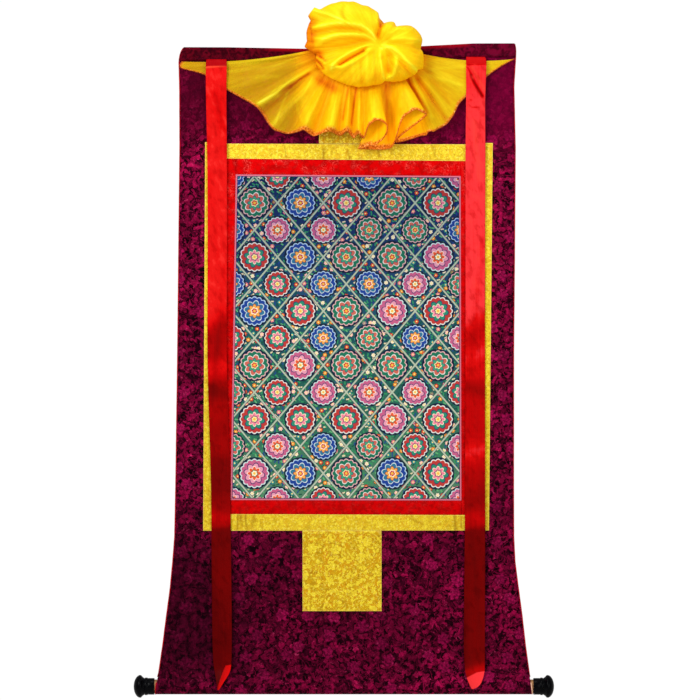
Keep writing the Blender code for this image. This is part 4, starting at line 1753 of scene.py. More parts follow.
@dataclass
class Ribbon:
    """A satin ribbon, sewn on under the top hem and hanging free to its turned-up point."""

    side: Side
    rows: tuple[RibbonRow, ...]
    end_crease: tuple[tuple[float, float], ...]
    creases: tuple[Crease, ...]
    bends: tuple[Bend, ...]
    finish: SatinRibbon
    header_drop: float
    flap_low: float
    sheet: float = 0.0007
    cells: int = 20
    splits: int = 5
    cup: float = 0.0006
    slack: float = 0.0005
    flap_reach: float = 0.02
    flap_slope: float = 0.12

    def build(self) -> None:
        rows = refined(np.array(self.rows), self.splits)
        drop, left, right, depth, turn = (rows[:, i : i + 1] for i in range(5))
        share = np.linspace(0, 1, self.cells + 1)[None, :]
        x = left + (right - left) * share
        drop = drop + np.zeros_like(x)
        cupped = -self.cup * (2 * share - 1) ** 2
        waves = Crumple(7 + self.side.value, 6, 40, self.slack)
        depth = depth + turn * (share - 0.5) + cupped
        depth = depth + waves.at(share * 0.8 + 0 * drop, drop / 1.3)
        for crease in self.creases:
            depth = depth + crease.lift(x, drop)
        bend = np.interp(x, *zip(*self.end_crease))
        past = drop - bend
        marks = {
            # The flap is lighter at the right and darker to the left: painted shade
            "flap": eased(past, -0.0005, 0.0012) * (self.flap_low + (1 - self.flap_low) * share),
            "header": eased(drop, self.header_drop + 0.0015, self.header_drop - 0.001),
            "crease": self._crease_marks(x, drop),
            "shade": self._shade_marks(share, drop),
        }
        depth = depth + np.clip(past, 0, self.flap_reach) * self.flap_slope
        points = HANGING.place(x, drop, depth)
        name = f"satin_ribbon_{self.side.word}"
        obj = BENCH.mesh(name, points, quads(numbered(*x.shape)), marks)
        BENCH.thicken(obj, self.sheet)
        BENCH.deliver(obj, self.finish.material(), Slot.SATIN, [f"ribbon_{self.side.word}"])

    def _crease_marks(self, x: Points, drop: Points) -> Points:
        """Where troughs shade the satin, up to 1, and ridges light it, down to -1.

        Args:
            x: Places across.
            drop: Drops.

        Returns:
            One mark for each place.
        """
        marks = np.zeros_like(x)
        for crease in self.creases:
            own = crease.lift(x, drop) / abs(crease.height / 1000)
            marks = marks - own * min(1.0, abs(crease.height))
        return np.clip(marks, -1, 1)

    def _shade_marks(self, share: Points, drop: Points) -> Points:
        """How far the satin turns from the light, from 0 to 1.

        Args:
            share: Shares of the width.
            drop: Drops.

        Returns:
            One mark for each place.
        """
        shade = np.zeros_like(drop)
        for bend in self.bends:
            place = drop + bend.slant * (share - 0.5)
            if bend.reach > 0:
                shade = shade + bend.shade * np.exp(-(((place - bend.drop) / bend.reach) ** 2))
            else:
                step = eased(place, bend.drop + bend.reach, bend.drop - bend.reach)
                shade = shade + bend.shade * step
        low_edge = eased(drop, 0.93, 1.15) * (1 - share) ** 3
        return np.clip(shade + low_edge * 0.22, 0, 1)


LEFT_RIBBON = Ribbon(
    side=Side.LEFT,
    rows=table(
        RibbonRow,
        (0.0258, -0.273, -0.234, 0.0052, 0), (0.04, -0.2743, -0.2332, 0.0125, 0),
        (0.106, -0.2739, -0.2338, 0.012, 0.001), (0.21, -0.2718, -0.233, 0.007, 0.002),
        (0.33, -0.2708, -0.2326, 0.0058, -0.0015), (0.477, -0.2708, -0.2328, 0.0052, 0.001),
        (0.614, -0.2708, -0.233, 0.0058, 0.002), (0.751, -0.267, -0.229, 0.006, -0.001),
        (0.849, -0.2641, -0.226, 0.0054, -0.002), (0.947, -0.263, -0.225, 0.006, 0.001),
        (1.123, -0.2616, -0.223, 0.005, 0.002), (1.201, -0.2594, -0.2236, 0.0056, 0.002),
        (1.225, -0.256, -0.2275, 0.009, 0.003), (1.24, -0.2535, -0.2365, 0.014, 0.003),
        (1.258, -0.2508, -0.2478, 0.0178, 0.001),
    ),
    end_crease=(
        (-0.2560, 1.262), (-0.2514, 1.256), (-0.2465, 1.2404), (-0.2406, 1.2248), (-0.2348, 1.211),
        (-0.2200, 1.2085),
    ),
    creases=creased(
        (0.9, 1.8, -275, 42.5, -233, 38.5), (-0.3, 8, -256, 96, -238, 170),
        (-0.15, 6, -266, 250, -250, 420), (-0.2, 6, -236, 420, -262, 700),
    ),
    bends=table(
        Bend,
        (0.11, 0.06, 0.1), (0.535, -0.03, 0.48, 0.03), (0.63, 0.022, -0.28, 0.01),
        (0.676, 0.016, 0.22, -0.01), (0.755, 0.03, 0.1, 0.03), (0.812, 0.022, 0.14),
        (0.84, -0.03, 0.12), (0.845, 0.035, 0.18, 0.01), (0.924, 0.013, -0.22, -0.008),
        (0.944, -0.008, 0.28, 0.006), (1.03, 0.04, -0.08), (1.17, 0.06, 0.08),
    ),
    finish=SatinRibbon("satin_left", bright=0xD41412, header=0x96020A, flap=0xC80606),
    header_drop=0.0395,
    flap_low=0.2,
)
RIGHT_RIBBON = Ribbon(
    side=Side.RIGHT,
    rows=table(
        RibbonRow,
        (0.021, 0.2354, 0.272, 0.0052, 0), (0.036, 0.2348, 0.2749, 0.012, 0.002),
        (0.106, 0.2348, 0.2725, 0.0115, -0.003), (0.21, 0.2338, 0.2729, 0.0072, 0.001),
        (0.34, 0.2338, 0.2724, 0.0056, 0.002), (0.497, 0.2338, 0.272, 0.0052, -0.001),
        (0.693, 0.2333, 0.272, 0.0058, -0.002), (0.849, 0.2328, 0.272, 0.0054, 0.001),
        (0.947, 0.232, 0.272, 0.006, 0.002), (1.162, 0.23, 0.2714, 0.0052, 0),
        (1.211, 0.2315, 0.271, 0.0062, -0.001), (1.225, 0.233, 0.27, 0.0095, -0.002),
        (1.24, 0.2375, 0.2655, 0.0145, -0.002), (1.25, 0.2418, 0.259, 0.0168, -0.0015),
        (1.256, 0.245, 0.249, 0.018, -0.001),
    ),
    end_crease=(
        (0.2300, 1.238), (0.2358, 1.234), (0.2551, 1.2244), (0.2694, 1.2221), (0.2750, 1.221),
    ),
    creases=creased(
        (-0.5, 1.4, 235, 37, 274, 36), (-0.5, 1.8, 238, 43, 246, 57),
        (-1.2, 2.6, 244, 58, 252, 74, 267, 98), (0.3, 3.5, 246, 42, 270, 84),
        (-0.4, 1.3, 246, 121, 262, 119), (-0.3, 1.3, 238, 108, 247, 105),
        (0.2, 6, 250, 150, 262, 260), (-0.15, 6, 268, 380, 242, 640),
        (-0.12, 5, 240, 900, 266, 1180),
    ),
    bends=table(
        Bend,
        (0.06, 0.04, 0.08), (0.54, -0.025, 0.34, 0.03), (0.605, 0.022, -0.22, 0.015),
        (0.64, 0.015, -0.1), (0.673, 0.014, 0.18, -0.012), (0.793, 0.016, -0.2, 0.01),
        (0.83, -0.03, 0.12), (0.885, 0.025, 0.14, 0.012), (0.922, 0.013, -0.13, -0.008),
        (0.944, -0.008, 0.3, 0.006), (1, 0.05, 0.05), (1.224, 0.014, -0.4, 0.008),
    ),
    finish=SatinRibbon("satin_right", bright=0xE83034, header=0xB40606, flap=0xF03438),
    header_drop=0.0350,
    flap_low=0.75,
)


# -------- the veil


class Fold(NamedTuple):
    """One fold line of the veil, in millimetres, from the rosette's rim to the hem."""

    rim_x: float
    rim_drop: float
    crown: float
    hem_x: float
    hem_drop: float
    belly: float
    hem_depth: float


class Crown(NamedTuple):
    """One fold line over the top of the rosette, in millimetres."""

    rim_x: float
    rim_drop: float
    crown: float
    belly: float = 18


class Station(NamedTuple):
    """A place along a fold line on the rosette: its reach, its rise, its share of own height."""

    reach: float
    rise: float
    own: float


LEFT_WING = table(
    Fold,
    (-82, 6, 46, -321, 30, 8, 1.2), (-80, 12, 52, -323, 42, 9, 2), (-79, 18, 42, -278, 55, 8, 3),
    (-76, 25, 54, -235, 84, 15, 8), (-72, 31, 46, -197, 105, 12, 6),
    (-68, 37, 60, -174, 121, 26, 20), (-64, 42, 52, -160, 139, 14, 9),
    (-60, 46, 62, -143, 162, 26, 22), (-54, 51, 54, -113, 172, 17, 14),
)
SKIRT = table(
    Fold,
    (-47, 56, 74, -84, 167, 33, 35), (-38, 61, 58, -62, 176, 20, 19),
    (-27, 67, 68, -32, 170, 36, 43), (-16, 72, 60, -14, 177, 24, 24), (-5, 77, 68, 1, 169, 35, 40),
    (6, 80, 60, 13, 180, 21, 23), (17, 82, 68, 25, 175, 35, 42), (28, 82, 60, 36, 182, 28, 36),
    (39, 82, 66, 44, 160, 40, 50), (50, 81, 70, 61, 149, 45, 61), (62, 79, 60, 80, 162, 42, 55),
    (73, 76, 56, 72, 186, 32, 42), (81, 75, 58, 46, 197, 18, 26), (88, 74, 58, 24, 202, 12, 17),
    (95, 73, 62, 78, 203, 8, 9), (102, 71, 66, 95, 190, 20, 20), (108, 68, 72, 108, 150, 37, 43),
    (114, 66, 78, 131, 130, 43, 53), (119, 64, 78, 156, 140, 38, 45),
)
RIGHT_WING = table(
    Fold,
    (123, 62, 74, 97, 187, 8, 13), (127, 60, 66, 147, 176, 5, 8), (131, 58, 60, 160, 171, 11, 15),
    (135, 56, 64, 174, 166, 19, 24), (139, 53, 60, 195, 153, 12, 12),
    (144, 50, 68, 208, 139, 22, 18), (148, 45, 62, 221, 113, 11, 8), (150, 39, 70, 242, 92, 14, 8),
    (152, 32, 62, 274, 60, 9, 4.5), (153, 24, 68, 305, 38, 8, 2.5), (153, 15, 62, 329, 25, 8, 1.4),
)
ROSETTE_TOP = table(
    Crown,
    (152, 2, 68), (148, -12, 58), (138, -27, 68), (122, -35, 58), (102, -39, 66), (80, -45, 50),
    (65, -60, 64), (47, -71, 58), (23, -79, 72), (0, -83, 62), (-23, -79, 78), (-45, -73, 66),
    (-61, -67, 76), (-71, -53, 58), (-75, -38, 70), (-77, -23, 56), (-80, -9, 64),
)
PROFILE = table(
    Station,
    (0.2, 0.66, 0.3), (0.36, 0.84, 0.7), (0.54, 0.98, 1), (0.71, 0.97, 1), (0.85, 0.82, 1),
    (0.95, 0.6, 1), (1, 0.4, 0.8), (0.98, 0.26, 0.6), (0.91, 0.15, 0.4),
)
# The rosette's outline, as (x, drop) in millimetres
ROSETTE_OUTLINE = (
    (-81, 4), (-76, -6), (-77, -25), (-69, -48), (-74, -57), (-61, -72), (-53, -68), (-40, -74),
    (-13, -84), (12, -84), (33, -77), (54, -69), (63, -62), (66, -48), (71, -42), (80, -44),
    (94, -44), (98, -36), (127, -36), (136, -30), (147, -17), (149, -11), (145, 8), (150, 15),
    (150, 48), (140, 50), (136, 57), (120, 66), (75, 71), (71, 76), (51, 80), (5, 79), (-16, 71),
    (-40, 59), (-58, 43), (-58, 18),
)
PUFFS = creased(
    (5, 6, -60, -67, -35, -58, -12, -48, -2, -40),
    (8, 7.5, -62, -31, -35, -37, 1, -38, 33, -33, 50, -18, 60, -6),
    (-5, 5, -60, -19, -20, -26, 25, -26, 50, -12),
    (8, 7.5, -48, -6, -22, -14, 8, -17, 39, -17, 58, -8), (-6, 6.5, -52, 12, -8, 5, 34, -5, 54, -3),
    (3.5, 3.5, -55, 27, -40, 39, -28, 54), (7, 5, -28, 43, -12, 31, 8, 16, 33, 5, 54, -1),
    (7, 5, -28, 43, -7, 48, 16, 35, 35, 22, 52, 7), (-9, 4.5, -14, 41, 8, 30, 35, 14),
    (2.5, 5, 23, 38, 24, 70), (2.5, 5, 43, 26, 45, 76),
    (6, 4.5, 67, 24, 67, 14, 73, 7, 84, 9, 98, 18, 100, 39, 94, 60, 84, 67),
    (6, 4.5, 84, 67, 75, 71, 73, 58, 69, 39, 67, 24), (-10, 7, 84, 24, 84, 52),
    (7, 6, 73, 1, 96, 9, 109, 22, 117, 35, 130, 48, 139, 54), (-3.5, 6, 84, 0, 112, 4, 138, 16),
    (4, 6, 92, -8, 117, -10, 139, -6), (3.5, 5, 80, -36, 97, -31, 127, -29),
    (-10, 5, 63, -6, 61, -14, 65, -33, 72, -43),
)
PLEATS = creased(
    (1.4, 2.4, -65, -67, -51, -61, -35, -57, -18, -49, -2, -43),
    (1.4, 2.2, -65, -31, -47, -36, -22, -39, 8, -38, 31, -35, 47, -25, 57, -12),
    (-1, 2.8, -60, -25, -22, -32, 10, -31, 40, -22),
    (1.4, 2.4, -47, -8, -31, -14, -12, -18, 12, -19, 37, -17, 55, -8),
    (-1, 3.2, -43, 0, -12, -9, 12, -11, 45, -8),
    (1.3, 2, -29, 49, -25, 39, -12, 29, 8, 18, 27, 8, 47, 0),
    (1.3, 2, -29, 49, -12, 45, 8, 35, 27, 22, 47, 8), (-1.4, 2.2, -12, 43, 8, 27, 27, 16, 39, 6),
    (1.2, 2.2, 68, 8, 66, 12, 65, 27, 69, 47, 74, 67),
    (1.2, 2.2, 90, 67, 96, 47, 98, 31, 92, 18, 82, 8, 68, 8),
    (1.4, 3, 72, 2, 88, 6, 102, 18, 115, 31, 129, 43, 141, 53), (-0.9, 4, 104, 34, 124, 58),
    (0.8, 2, 90, -8, 115, -10, 139, -8), (0.6, 2, 74, -8, 100, -30), (0.6, 2, 78, -4, 120, -22),
    (0.8, 7, 2, -72, 8, -52), (-1.3, 2.8, -5, -72, -8, -62, -4, -50, -1, -38),
    (0.7, 3, -22, -70, -16, -60, -15, -50), (1, 2.4, 56, -70, 60, -56, 61, -40, 60, -24),
    (0.5, 5, 40, -60, 48, -40), (0.8, 3, 12, 34, 16, 72), (0.7, 2.6, 40, 22, 40, 74),
    (-0.6, 2.5, 28, 36, 30, 74), (-0.5, 3, 54, 14, 58, 74), (-1.6, 3, 64, -46, 68, -33, 65, -12),
    (1.6, 1.6, -58, 24, -45, 36, -38, 50), (1.6, 1.4, -60, 34, -48, 46),
    (-1.6, 1.8, -52, 22, -38, 34), (-1.4, 2, -62, 44, -50, 54), (-1.2, 1.8, -56, 30, -44, 48),
    (-0.9, 2.6, -76, -58, -69, -40, -67, -20, -63, 4),
)
DRAPES = creased(
    (2.5, 6, -79, 14, -150, 28, -233, 48), (4, 6, -65, 40, -120, 76, -171, 112),
    (4, 6, -57, 54, -100, 104, -143, 152), (4, 11, -64, 76, -78, 110, -77, 150),
    (-3, 5, -75, 54, -125, 88), (-3.5, 6, -109, 80, -160, 128), (4, 9, -8, 79, -30, 166),
    (4, 9, 60, 82, 59, 139), (4, 11, 104, 80, 130, 122), (2, 7, 170, 30, 240, 40, 310, 28),
    (-2.5, 7, 160, 50, 200, 110), (2.5, 7, 175, 45, 235, 90),
)
STREAKS = creased(
    (1.2, 2.4, -70, 47, -110, 70, -135, 92, -172, 113), (0.8, 4, -130, 96, -170, 113),
    (-1.2, 2.8, -71, 54, -92, 68, -112, 84), (1, 2, -113, 90, -128, 122, -139, 155),
    (1.1, 1.8, -66, 62, -82, 96, -96, 108, -94, 130, -84, 150), (0.9, 9, -82, 108, -76, 146),
    (-1.1, 9, -58, 66, -18, 87), (0.8, 1.8, -92, 22, -140, 40, -226, 51),
    (0.5, 2, -130, 61, -176, 61), (0.9, 6, -86, 12, -168, 26, -238, 35),
    (1.2, 3, -196, 104, -170, 134, -146, 160), (-0.8, 2.2, -172, 113, -152, 146),
    (0.8, 5, -24, 100, -34, 166), (0.9, 2.6, -10, 96, -25, 160), (-1, 2.2, 4, 86, -6, 145),
    (-1.2, 2.4, 20, 82, 10, 155), (0.9, 2.6, 27, 86, 23, 160), (0.8, 4, 47, 82, 53, 141),
    (-0.8, 3, 78, 78, 82, 184), (0.8, 4, 90, 78, 106, 121), (-1.6, 3.6, 119, 64, 140, 98, 160, 132),
    (1, 3, 131, 66, 150, 100, 168, 141), (-0.8, 5, 141, 66, 170, 108, 196, 145),
    (0.5, 4, 155, 57, 227, 76), (0.4, 3, 160, 46, 240, 40),
)


@dataclass
class Veil:
    """The yellow silk cover: one sheet with its rosette, two wings and a skirt."""

    pinch: tuple[float, float] = (0.0626, 0.002)
    pinch_depth: float = 0.044
    neck_depth: float = 0.018
    neck_reach: float = 0.80
    back_depth: float = 0.0110
    under_hem: tuple[float, float] = (0.0220, 0.0064)
    back_seam: tuple[float, float] = (0.0315, 0.0016)
    lead_share: float = 0.25
    lead_back: float = 0.004
    mean_crown: float = 0.062
    under_rim: float = 0.16
    belly_share: float = 0.5
    wing_sags: tuple[float, ...] = (0.009, 0.0055, 0.0015)
    falls: tuple[float, ...] = (0.00, 0.06, 0.15, 0.30, 0.48, 0.66, 0.83, 1.00)
    sheet: float = 0.0005
    splits: int = 3
    row_splits: int = 2
    crown_share: float = 0.45
    calm: float = 0.0048
    puff_wrinkles: tuple[Crumple, ...] = table(Crumple, (11, 120, 9, 0.0008), (12, 40, 6, 0.0022))
    rim_waves: Crumple = Crumple(13, 110, 5, 0.0010)
    fall_wrinkles: tuple[Crumple, ...] = table(Crumple, (21, 110, 8, 0.0007), (22, 45, 6, 0.0014))
    frill: Crumple = Crumple(23, 84, 3)
    ripple: Crumple = Crumple(24, 96, 4)
    # Heights along the hem of the wings, and how much more they are on the skirt
    frill_heights: tuple[float, float] = (0.0010, 0.0036)
    ripple_heights: tuple[float, float] = (0.0012, 0.0012)
    tone_reach: int = 9
    pitch: float = 0.0024
    stitch: tuple[float, float] = (0.0036, 0.0011)
    slant: float = 1.1
    hem_share: float = 0.16
    widest_row: int = 20
    hem_width: float = 0.0036
    frill_width: float = 0.0060
    curl_width: float = 0.0020

    def _towards_rim(self, fold: Fold | Crown, reach: float, depth: float) -> tuple[float, ...]:
        """A place (x, drop, depth) between the pinch and the rim.

        Args:
            fold: The fold line.
            reach: 0 at the pinch, 1 at the rim.
            depth: The place's depth.

        Returns:
            The place.
        """
        x = self.pinch[0] + (fold.rim_x / 1000 - self.pinch[0]) * reach
        drop = self.pinch[1] + (fold.rim_drop / 1000 - self.pinch[1]) * reach
        return x, drop, depth

    def _rosette_row(self, station: Station) -> Points:
        """The rosette's places at one station, on every fold line.

        Args:
            station: The station.

        Returns:
            The places.
        """
        row = []
        for fold in LEFT_WING + SKIRT + RIGHT_WING + ROSETTE_TOP:
            own = station.own * self.crown_share
            crown = self.mean_crown + (fold.crown / 1000 - self.mean_crown) * own
            depth = self.neck_depth + (crown - self.neck_depth) * station.rise
            row.append(self._towards_rim(fold, station.reach, depth))
        return np.array(row)

    def _sag(self, fold: Fold) -> float:
        """How far a fold line sags half way.

        Args:
            fold: The fold line.

        Returns:
            The sag.
        """
        for i, sag in enumerate(self.wing_sags):
            if fold in (LEFT_WING[i], RIGHT_WING[-1 - i]):
                return sag
        return 0.0

    def _fall(self, fold: Fold, share: float) -> tuple[float, ...]:
        """A place of a wing or of the skirt, at a share of the way to the hem.

        Args:
            fold: The fold line.
            share: The share.

        Returns:
            The place, as (x, drop, depth).
        """
        lead = (fold.belly / 1000 - self.neck_depth) * self.lead_share
        neck = self.neck_depth + min(max(lead, -self.lead_back), 0)
        start_x, start_drop, _ = self._towards_rim(fold, self.neck_reach, neck)
        x = start_x + (fold.hem_x / 1000 - start_x) * share
        drop = start_drop + (fold.hem_drop / 1000 - start_drop) * share
        drop += self._sag(fold) * 4 * share * (1 - share)
        belly = fold.belly / 1000
        straight = neck + (belly - neck) * self.under_rim / self.belly_share
        depths = (neck, min(straight, self.neck_depth), belly, fold.hem_depth / 1000)
        return x, drop, float(np.interp(share, (0, self.under_rim, self.belly_share, 1), depths))

    def _back(self, fold: Crown, place: int) -> tuple[float, ...]:
        """A place of the sheet behind the rosette, down to its seam.

        Args:
            fold: The fold line.
            place: 0 at the rosette, 3 at the seam.

        Returns:
            The place, as (x, drop, depth).
        """
        x, start, _ = self._towards_rim(fold, self.neck_reach, self.neck_depth)
        middle = ((self.under_hem[0] + start) / 2, self.back_depth)
        drop, depth = ((start, self.neck_depth), middle, self.under_hem, self.back_seam)[place]
        return x, drop - float(rise_at(x, drop)), depth

    def build(self) -> None:
        """Build the silk, and its overlocked hem."""
        hanging = LEFT_WING + SKIRT + RIGHT_WING
        step = 2**self.splits
        total = (len(hanging) + len(ROSETTE_TOP)) * step
        pole = np.tile([[*self.pinch, self.pinch_depth]], (total, 1))
        rows = [self._rosette_row(station) for station in PROFILE]
        ring = np.stack([pole, *(refined(row, self.splits, closed=True) for row in rows)])
        rows = [np.array([self._fall(fold, share) for fold in hanging]) for share in self.falls]
        falls = np.stack([refined(row, self.splits) for row in rows])
        rows = [np.array([self._back(fold, i) for fold in ROSETTE_TOP]) for i in range(4)]
        behind = np.stack([refined(row, self.splits) for row in rows])
        first = len(hanging) * step
        last = falls[-1] + (falls[-2] - falls[-1]) * self.hem_share
        falls = np.concatenate([falls[:-1], last[None], falls[-1:]])
        front = refined(np.concatenate([ring[:, : falls.shape[1]], falls]), self.row_splits)
        behind = np.concatenate([ring[:, first : first + behind.shape[1]], behind])
        back = refined(behind, self.row_splits)
        rosette = refined(ring, self.row_splits)
        high = len(rosette)
        rosette[:, : front.shape[1]] = front[:high]
        rosette[:, first : first + back.shape[1]] = back[:high]
        self._outline(rosette)
        self._calm(rosette)
        blocks = {"rosette": rosette, "falls": front[high:], "behind": back[high:]}
        self._crumple(blocks)
        tones = self._tones(blocks)
        self._assemble(blocks, tones, first)

    def _angle(self, x: Points, drop: Points) -> Points:
        """The angle of a place about the pinch, from 0 to a full turn."""
        return np.arctan2(drop - self.pinch[1], x - self.pinch[0]) % TAU

    def _outline(self, rosette: Points) -> None:
        """Stretch the rosette from its pinch to its real, uneven outline.

        Args:
            rosette: The rosette's grid.
        """
        rim = np.array(ROSETTE_OUTLINE) / 1000
        angle = self._angle(rim[:, 0], rim[:, 1])
        reach = np.hypot(rim[:, 0] - self.pinch[0], rim[:, 1] - self.pinch[1])
        order = np.argsort(angle)
        away = rosette[..., :2] - self.pinch
        widest = np.hypot(away[..., 0], away[..., 1]).max(axis=0)
        turned = self._angle(*rosette[self.widest_row, :, :2].T)
        wanted = np.interp(turned, angle[order], reach[order], period=TAU)
        rosette[..., :2] = self.pinch + away * (wanted / widest)[None, :, None]

    @staticmethod
    def _shares(block: Points) -> tuple[Points, Points]:
        """The shares along the rows and across the columns of a block.

        Args:
            block: The block.

        Returns:
            The shares across, and the shares along.
        """
        rows, columns = block.shape[:2]
        u, v = np.meshgrid(np.linspace(0, 1, columns), np.linspace(0, 1, rows))
        return u, v

    def _calm(self, rosette: Points) -> None:
        """Smooth the narrow pleats away where they crowd together near the pinch.

        Args:
            rosette: The rosette's grid.
        """
        columns = rosette.shape[1]
        waves = np.arange(columns // 2 + 1)
        for share, row in zip(np.linspace(0, 1, len(rosette)), rosette):
            reach = max(1e-3, np.hypot(row[:, 0] - self.pinch[0], row[:, 1] - self.pinch[1]).mean())
            blur = np.exp(-0.5 * (waves * self.calm / reach) ** 2)
            smooth = np.fft.irfft(np.fft.rfft(row[:, 2]) * blur, columns)
            row[:, 2] += (smooth - row[:, 2]) * eased(share, 0.80, 0.55)

    @staticmethod
    def _lift(creases: Sequence[Crease], block: Points) -> Points:
        """How far all the creases together lift each place of a block."""
        return sum(crease.lift(block[..., 0], block[..., 1]) for crease in creases)

    @staticmethod
    def _skirted(block: Points, inner: float = 0.09, outer: float = 0.15) -> Points:
        """1 over the skirt, and 0 over the wings."""
        return eased(np.abs(block[..., 0] - 0.035), outer, inner)

    def _crumple(self, blocks: dict[str, Points]) -> None:
        """Lay the listed main creases, and fine wrinkles along every fold.

        Args:
            blocks: The rosette, the falls and the sheet behind.
        """
        rosette, falls = blocks["rosette"], blocks["falls"]
        u, v = self._shares(rosette)
        front = eased(v, 0.94, 0.72) * eased(v, 0.02, 0.14)
        lift = self._lift(PUFFS, rosette) + self._lift(PLEATS, rosette) * 0.8
        spread = np.clip((v - 0.2) / 0.4, 0, 1)
        fine = sum(wrinkle.at(u, v) for wrinkle in self.puff_wrinkles)
        rosette[..., 2] += front * (lift + fine * spread)
        rosette[..., 1] += eased(v, 0.5, 0.75) * self.rim_waves.at(u, v)
        u, v = self._shares(falls)
        thin = np.clip((falls[..., 2] - 0.0016) / 0.012, 0, 1)
        lift = self._lift(DRAPES, falls) * 0.4 + self._lift(STREAKS, falls) * 0.9
        fine = sum(wrinkle.at(u, v) for wrinkle in self.fall_wrinkles)
        skirt = self._skirted(falls, 0.11, 0.20)
        height = self.frill_heights[0] + skirt * self.frill_heights[1]
        frill = self.frill.at(u, v) * height * eased(v, 0.80, 1.0)
        falls[..., 2] += thin * ((fine + lift) * eased(v, 0.0, 0.25) + frill)
        height = self.ripple_heights[0] + skirt * self.ripple_heights[1]
        falls[..., 1] += self.ripple.at(u, v) * height * eased(v, 0.85, 1.0) * thin

    def _tones(self, blocks: dict[str, Points]) -> Points:
        """How bright each place of the silk is painted, from -1 in a hollow to 1 on a ridge, as
        painted shade and light.

        Args:
            blocks: The rosette, the falls and the sheet behind.

        Returns:
            The tones, for all blocks in turn.
        """
        tones = {}
        reach = self.tone_reach
        kernel = np.ones(2 * reach + 1) / (2 * reach + 1)
        for name, block in blocks.items():
            mode = "wrap" if name == "rosette" else "edge"
            padded = np.pad(block[..., 2], ((0, 0), (reach, reach)), mode=mode)
            smooth = np.stack([np.convolve(row, kernel, "valid") for row in padded])
            tones[name] = np.tanh((block[..., 2] - smooth) / 0.010)
        rosette, falls = blocks["rosette"], blocks["falls"]
        _, v = self._shares(rosette)
        puffs, pleats = self._lift(PUFFS, rosette), self._lift(PLEATS, rosette)
        angle = self._angle(rosette[..., 0], rosette[..., 1])
        # Painted shade on the left ear and on the rim where the rosette turns back, and painted
        # light towards the top
        ear = eased(np.abs(angle - math.radians(180)), 0.50, 0.30) * eased(v, 0.52, 0.66)
        turned = eased(v, 0.66, 0.90)
        tone = tones["rosette"] * 0.22 + np.clip(puffs / 0.010, -1, 1) * 0.32
        tone = tone + pleats / 0.0014 * 0.46
        tones["rosette"] = tone + 0.06 - rosette[..., 1] * 1.2 - ear * 0.75 - turned * 0.35
        _, v = self._shares(falls)
        folds = self._lift(DRAPES, falls) / 0.012 + self._lift(STREAKS, falls) / 0.0014 * 0.7
        skirt = self._skirted(falls, 0.10, 0.18)
        folds = np.minimum(folds, folds * (0.85 - skirt * 0.35))
        # Painted shade on the skirt and wings below the rosette, and painted light on the right
        # wing
        shade = eased(v, 0.50, 0.0) * (0.15 + skirt * 0.75)
        side = eased(falls[..., 0], 0.13, 0.19) * 0.22
        tones["falls"] = tones["falls"] * 0.20 + folds - skirt * 0.12 - shade + side
        # Painted shade on the sheet behind the rosette
        tones["behind"] = tones["behind"] - 0.5
        return np.clip(np.concatenate([tones[name].ravel() for name in blocks]), -1, 1)

    def _marks(self, blocks: dict[str, Points], first: int) -> dict[str, Points]:
        """The places along and round the silk, its cover and its hem, for each point.

        Args:
            blocks: The rosette, the falls and the sheet behind.
            first: The first of the ring's columns that run over the top.

        Returns:
            The marks, by name.
        """
        total = blocks["rosette"].shape[1]
        names = ("ring_x", "ring_y", "along", "cover", "hem", "inside")
        marks: dict[str, list[Points]] = {name: [] for name in names}
        spans = {"rosette": (0, 0.0, 26.0), "falls": (0, 26.0, 30.0), "behind": (first, 26.0, 10.0)}
        for name, block in blocks.items():
            start, begin, length = spans[name]
            rows, columns = block.shape[:2]
            turn = (start + np.arange(columns)) * TAU / total
            _, v = self._shares(block)
            marks["ring_x"].append(np.tile(np.cos(turn) * total / TAU, rows))
            marks["ring_y"].append(np.tile(np.sin(turn) * total / TAU, rows))
            marks["along"].append((begin + v * length).ravel() * 0.35)
            cover, hem, inside = (np.full(block.shape[:2], n) for n in (1.0, 0.0, 0.0))
            if name == "falls":
                x, drop = block[..., 0], block[..., 1]
                # Inside the skirt's curls the silk is painted brighter: painted light
                inside = eased(x, 0.034, 0.046) * eased(x, 0.176, 0.150) * eased(v, 0.62, 0.80)
                inside = inside * eased(drop, 0.132, 0.146)
                cover = np.maximum(eased(v, 0.30, 0.0) * 0.6, self._skirted(block) * 0.85)
                cover = np.maximum(cover, eased(x, 0.10, 0.16) * 0.22)
                ruffled = eased(x, -0.115, -0.085) * eased(x, 0.034, 0.018)
                ruffled = np.maximum(ruffled, eased(drop, 0.186, 0.194) * eased(x, 0.09, 0.08))
                curled = eased(x, 0.030, 0.038) * eased(x, 0.170, 0.150)
                width = self.hem_width + self.frill_width * ruffled + self.curl_width * curled
                away = np.linalg.norm(block - block[-1:], axis=2)
                hem = eased(away / width, 1.25, 0.80)
            for mark, values in (("cover", cover), ("hem", hem), ("inside", inside)):
                marks[mark].append(values.ravel())
        return {name: np.concatenate(parts) for name, parts in marks.items()}

    def _assemble(self, blocks: dict[str, Points], tones: Points, first: int) -> None:
        """Join the blocks into one sheet and finish it.

        Args:
            blocks: The rosette, the falls and the sheet behind, as grids.
            tones: How bright each place is, for all the blocks in turn.
            first: The first of the ring's columns that run over the top.
        """
        rosette, falls, behind = (blocks[name] for name in ("rosette", "falls", "behind"))
        points = np.concatenate([block.reshape(-1, 3) for block in (rosette, falls, behind)])
        numbers = numbered(*rosette.shape[:2])
        faces = tube(numbers)
        offset = numbers.size
        for block, start in ((falls, 0), (behind, first)):
            own = numbered(*block.shape[:2], offset)
            above = numbers[-1:, start : start + block.shape[1]]
            faces += quads(np.concatenate([above, own]))
            offset += own.size
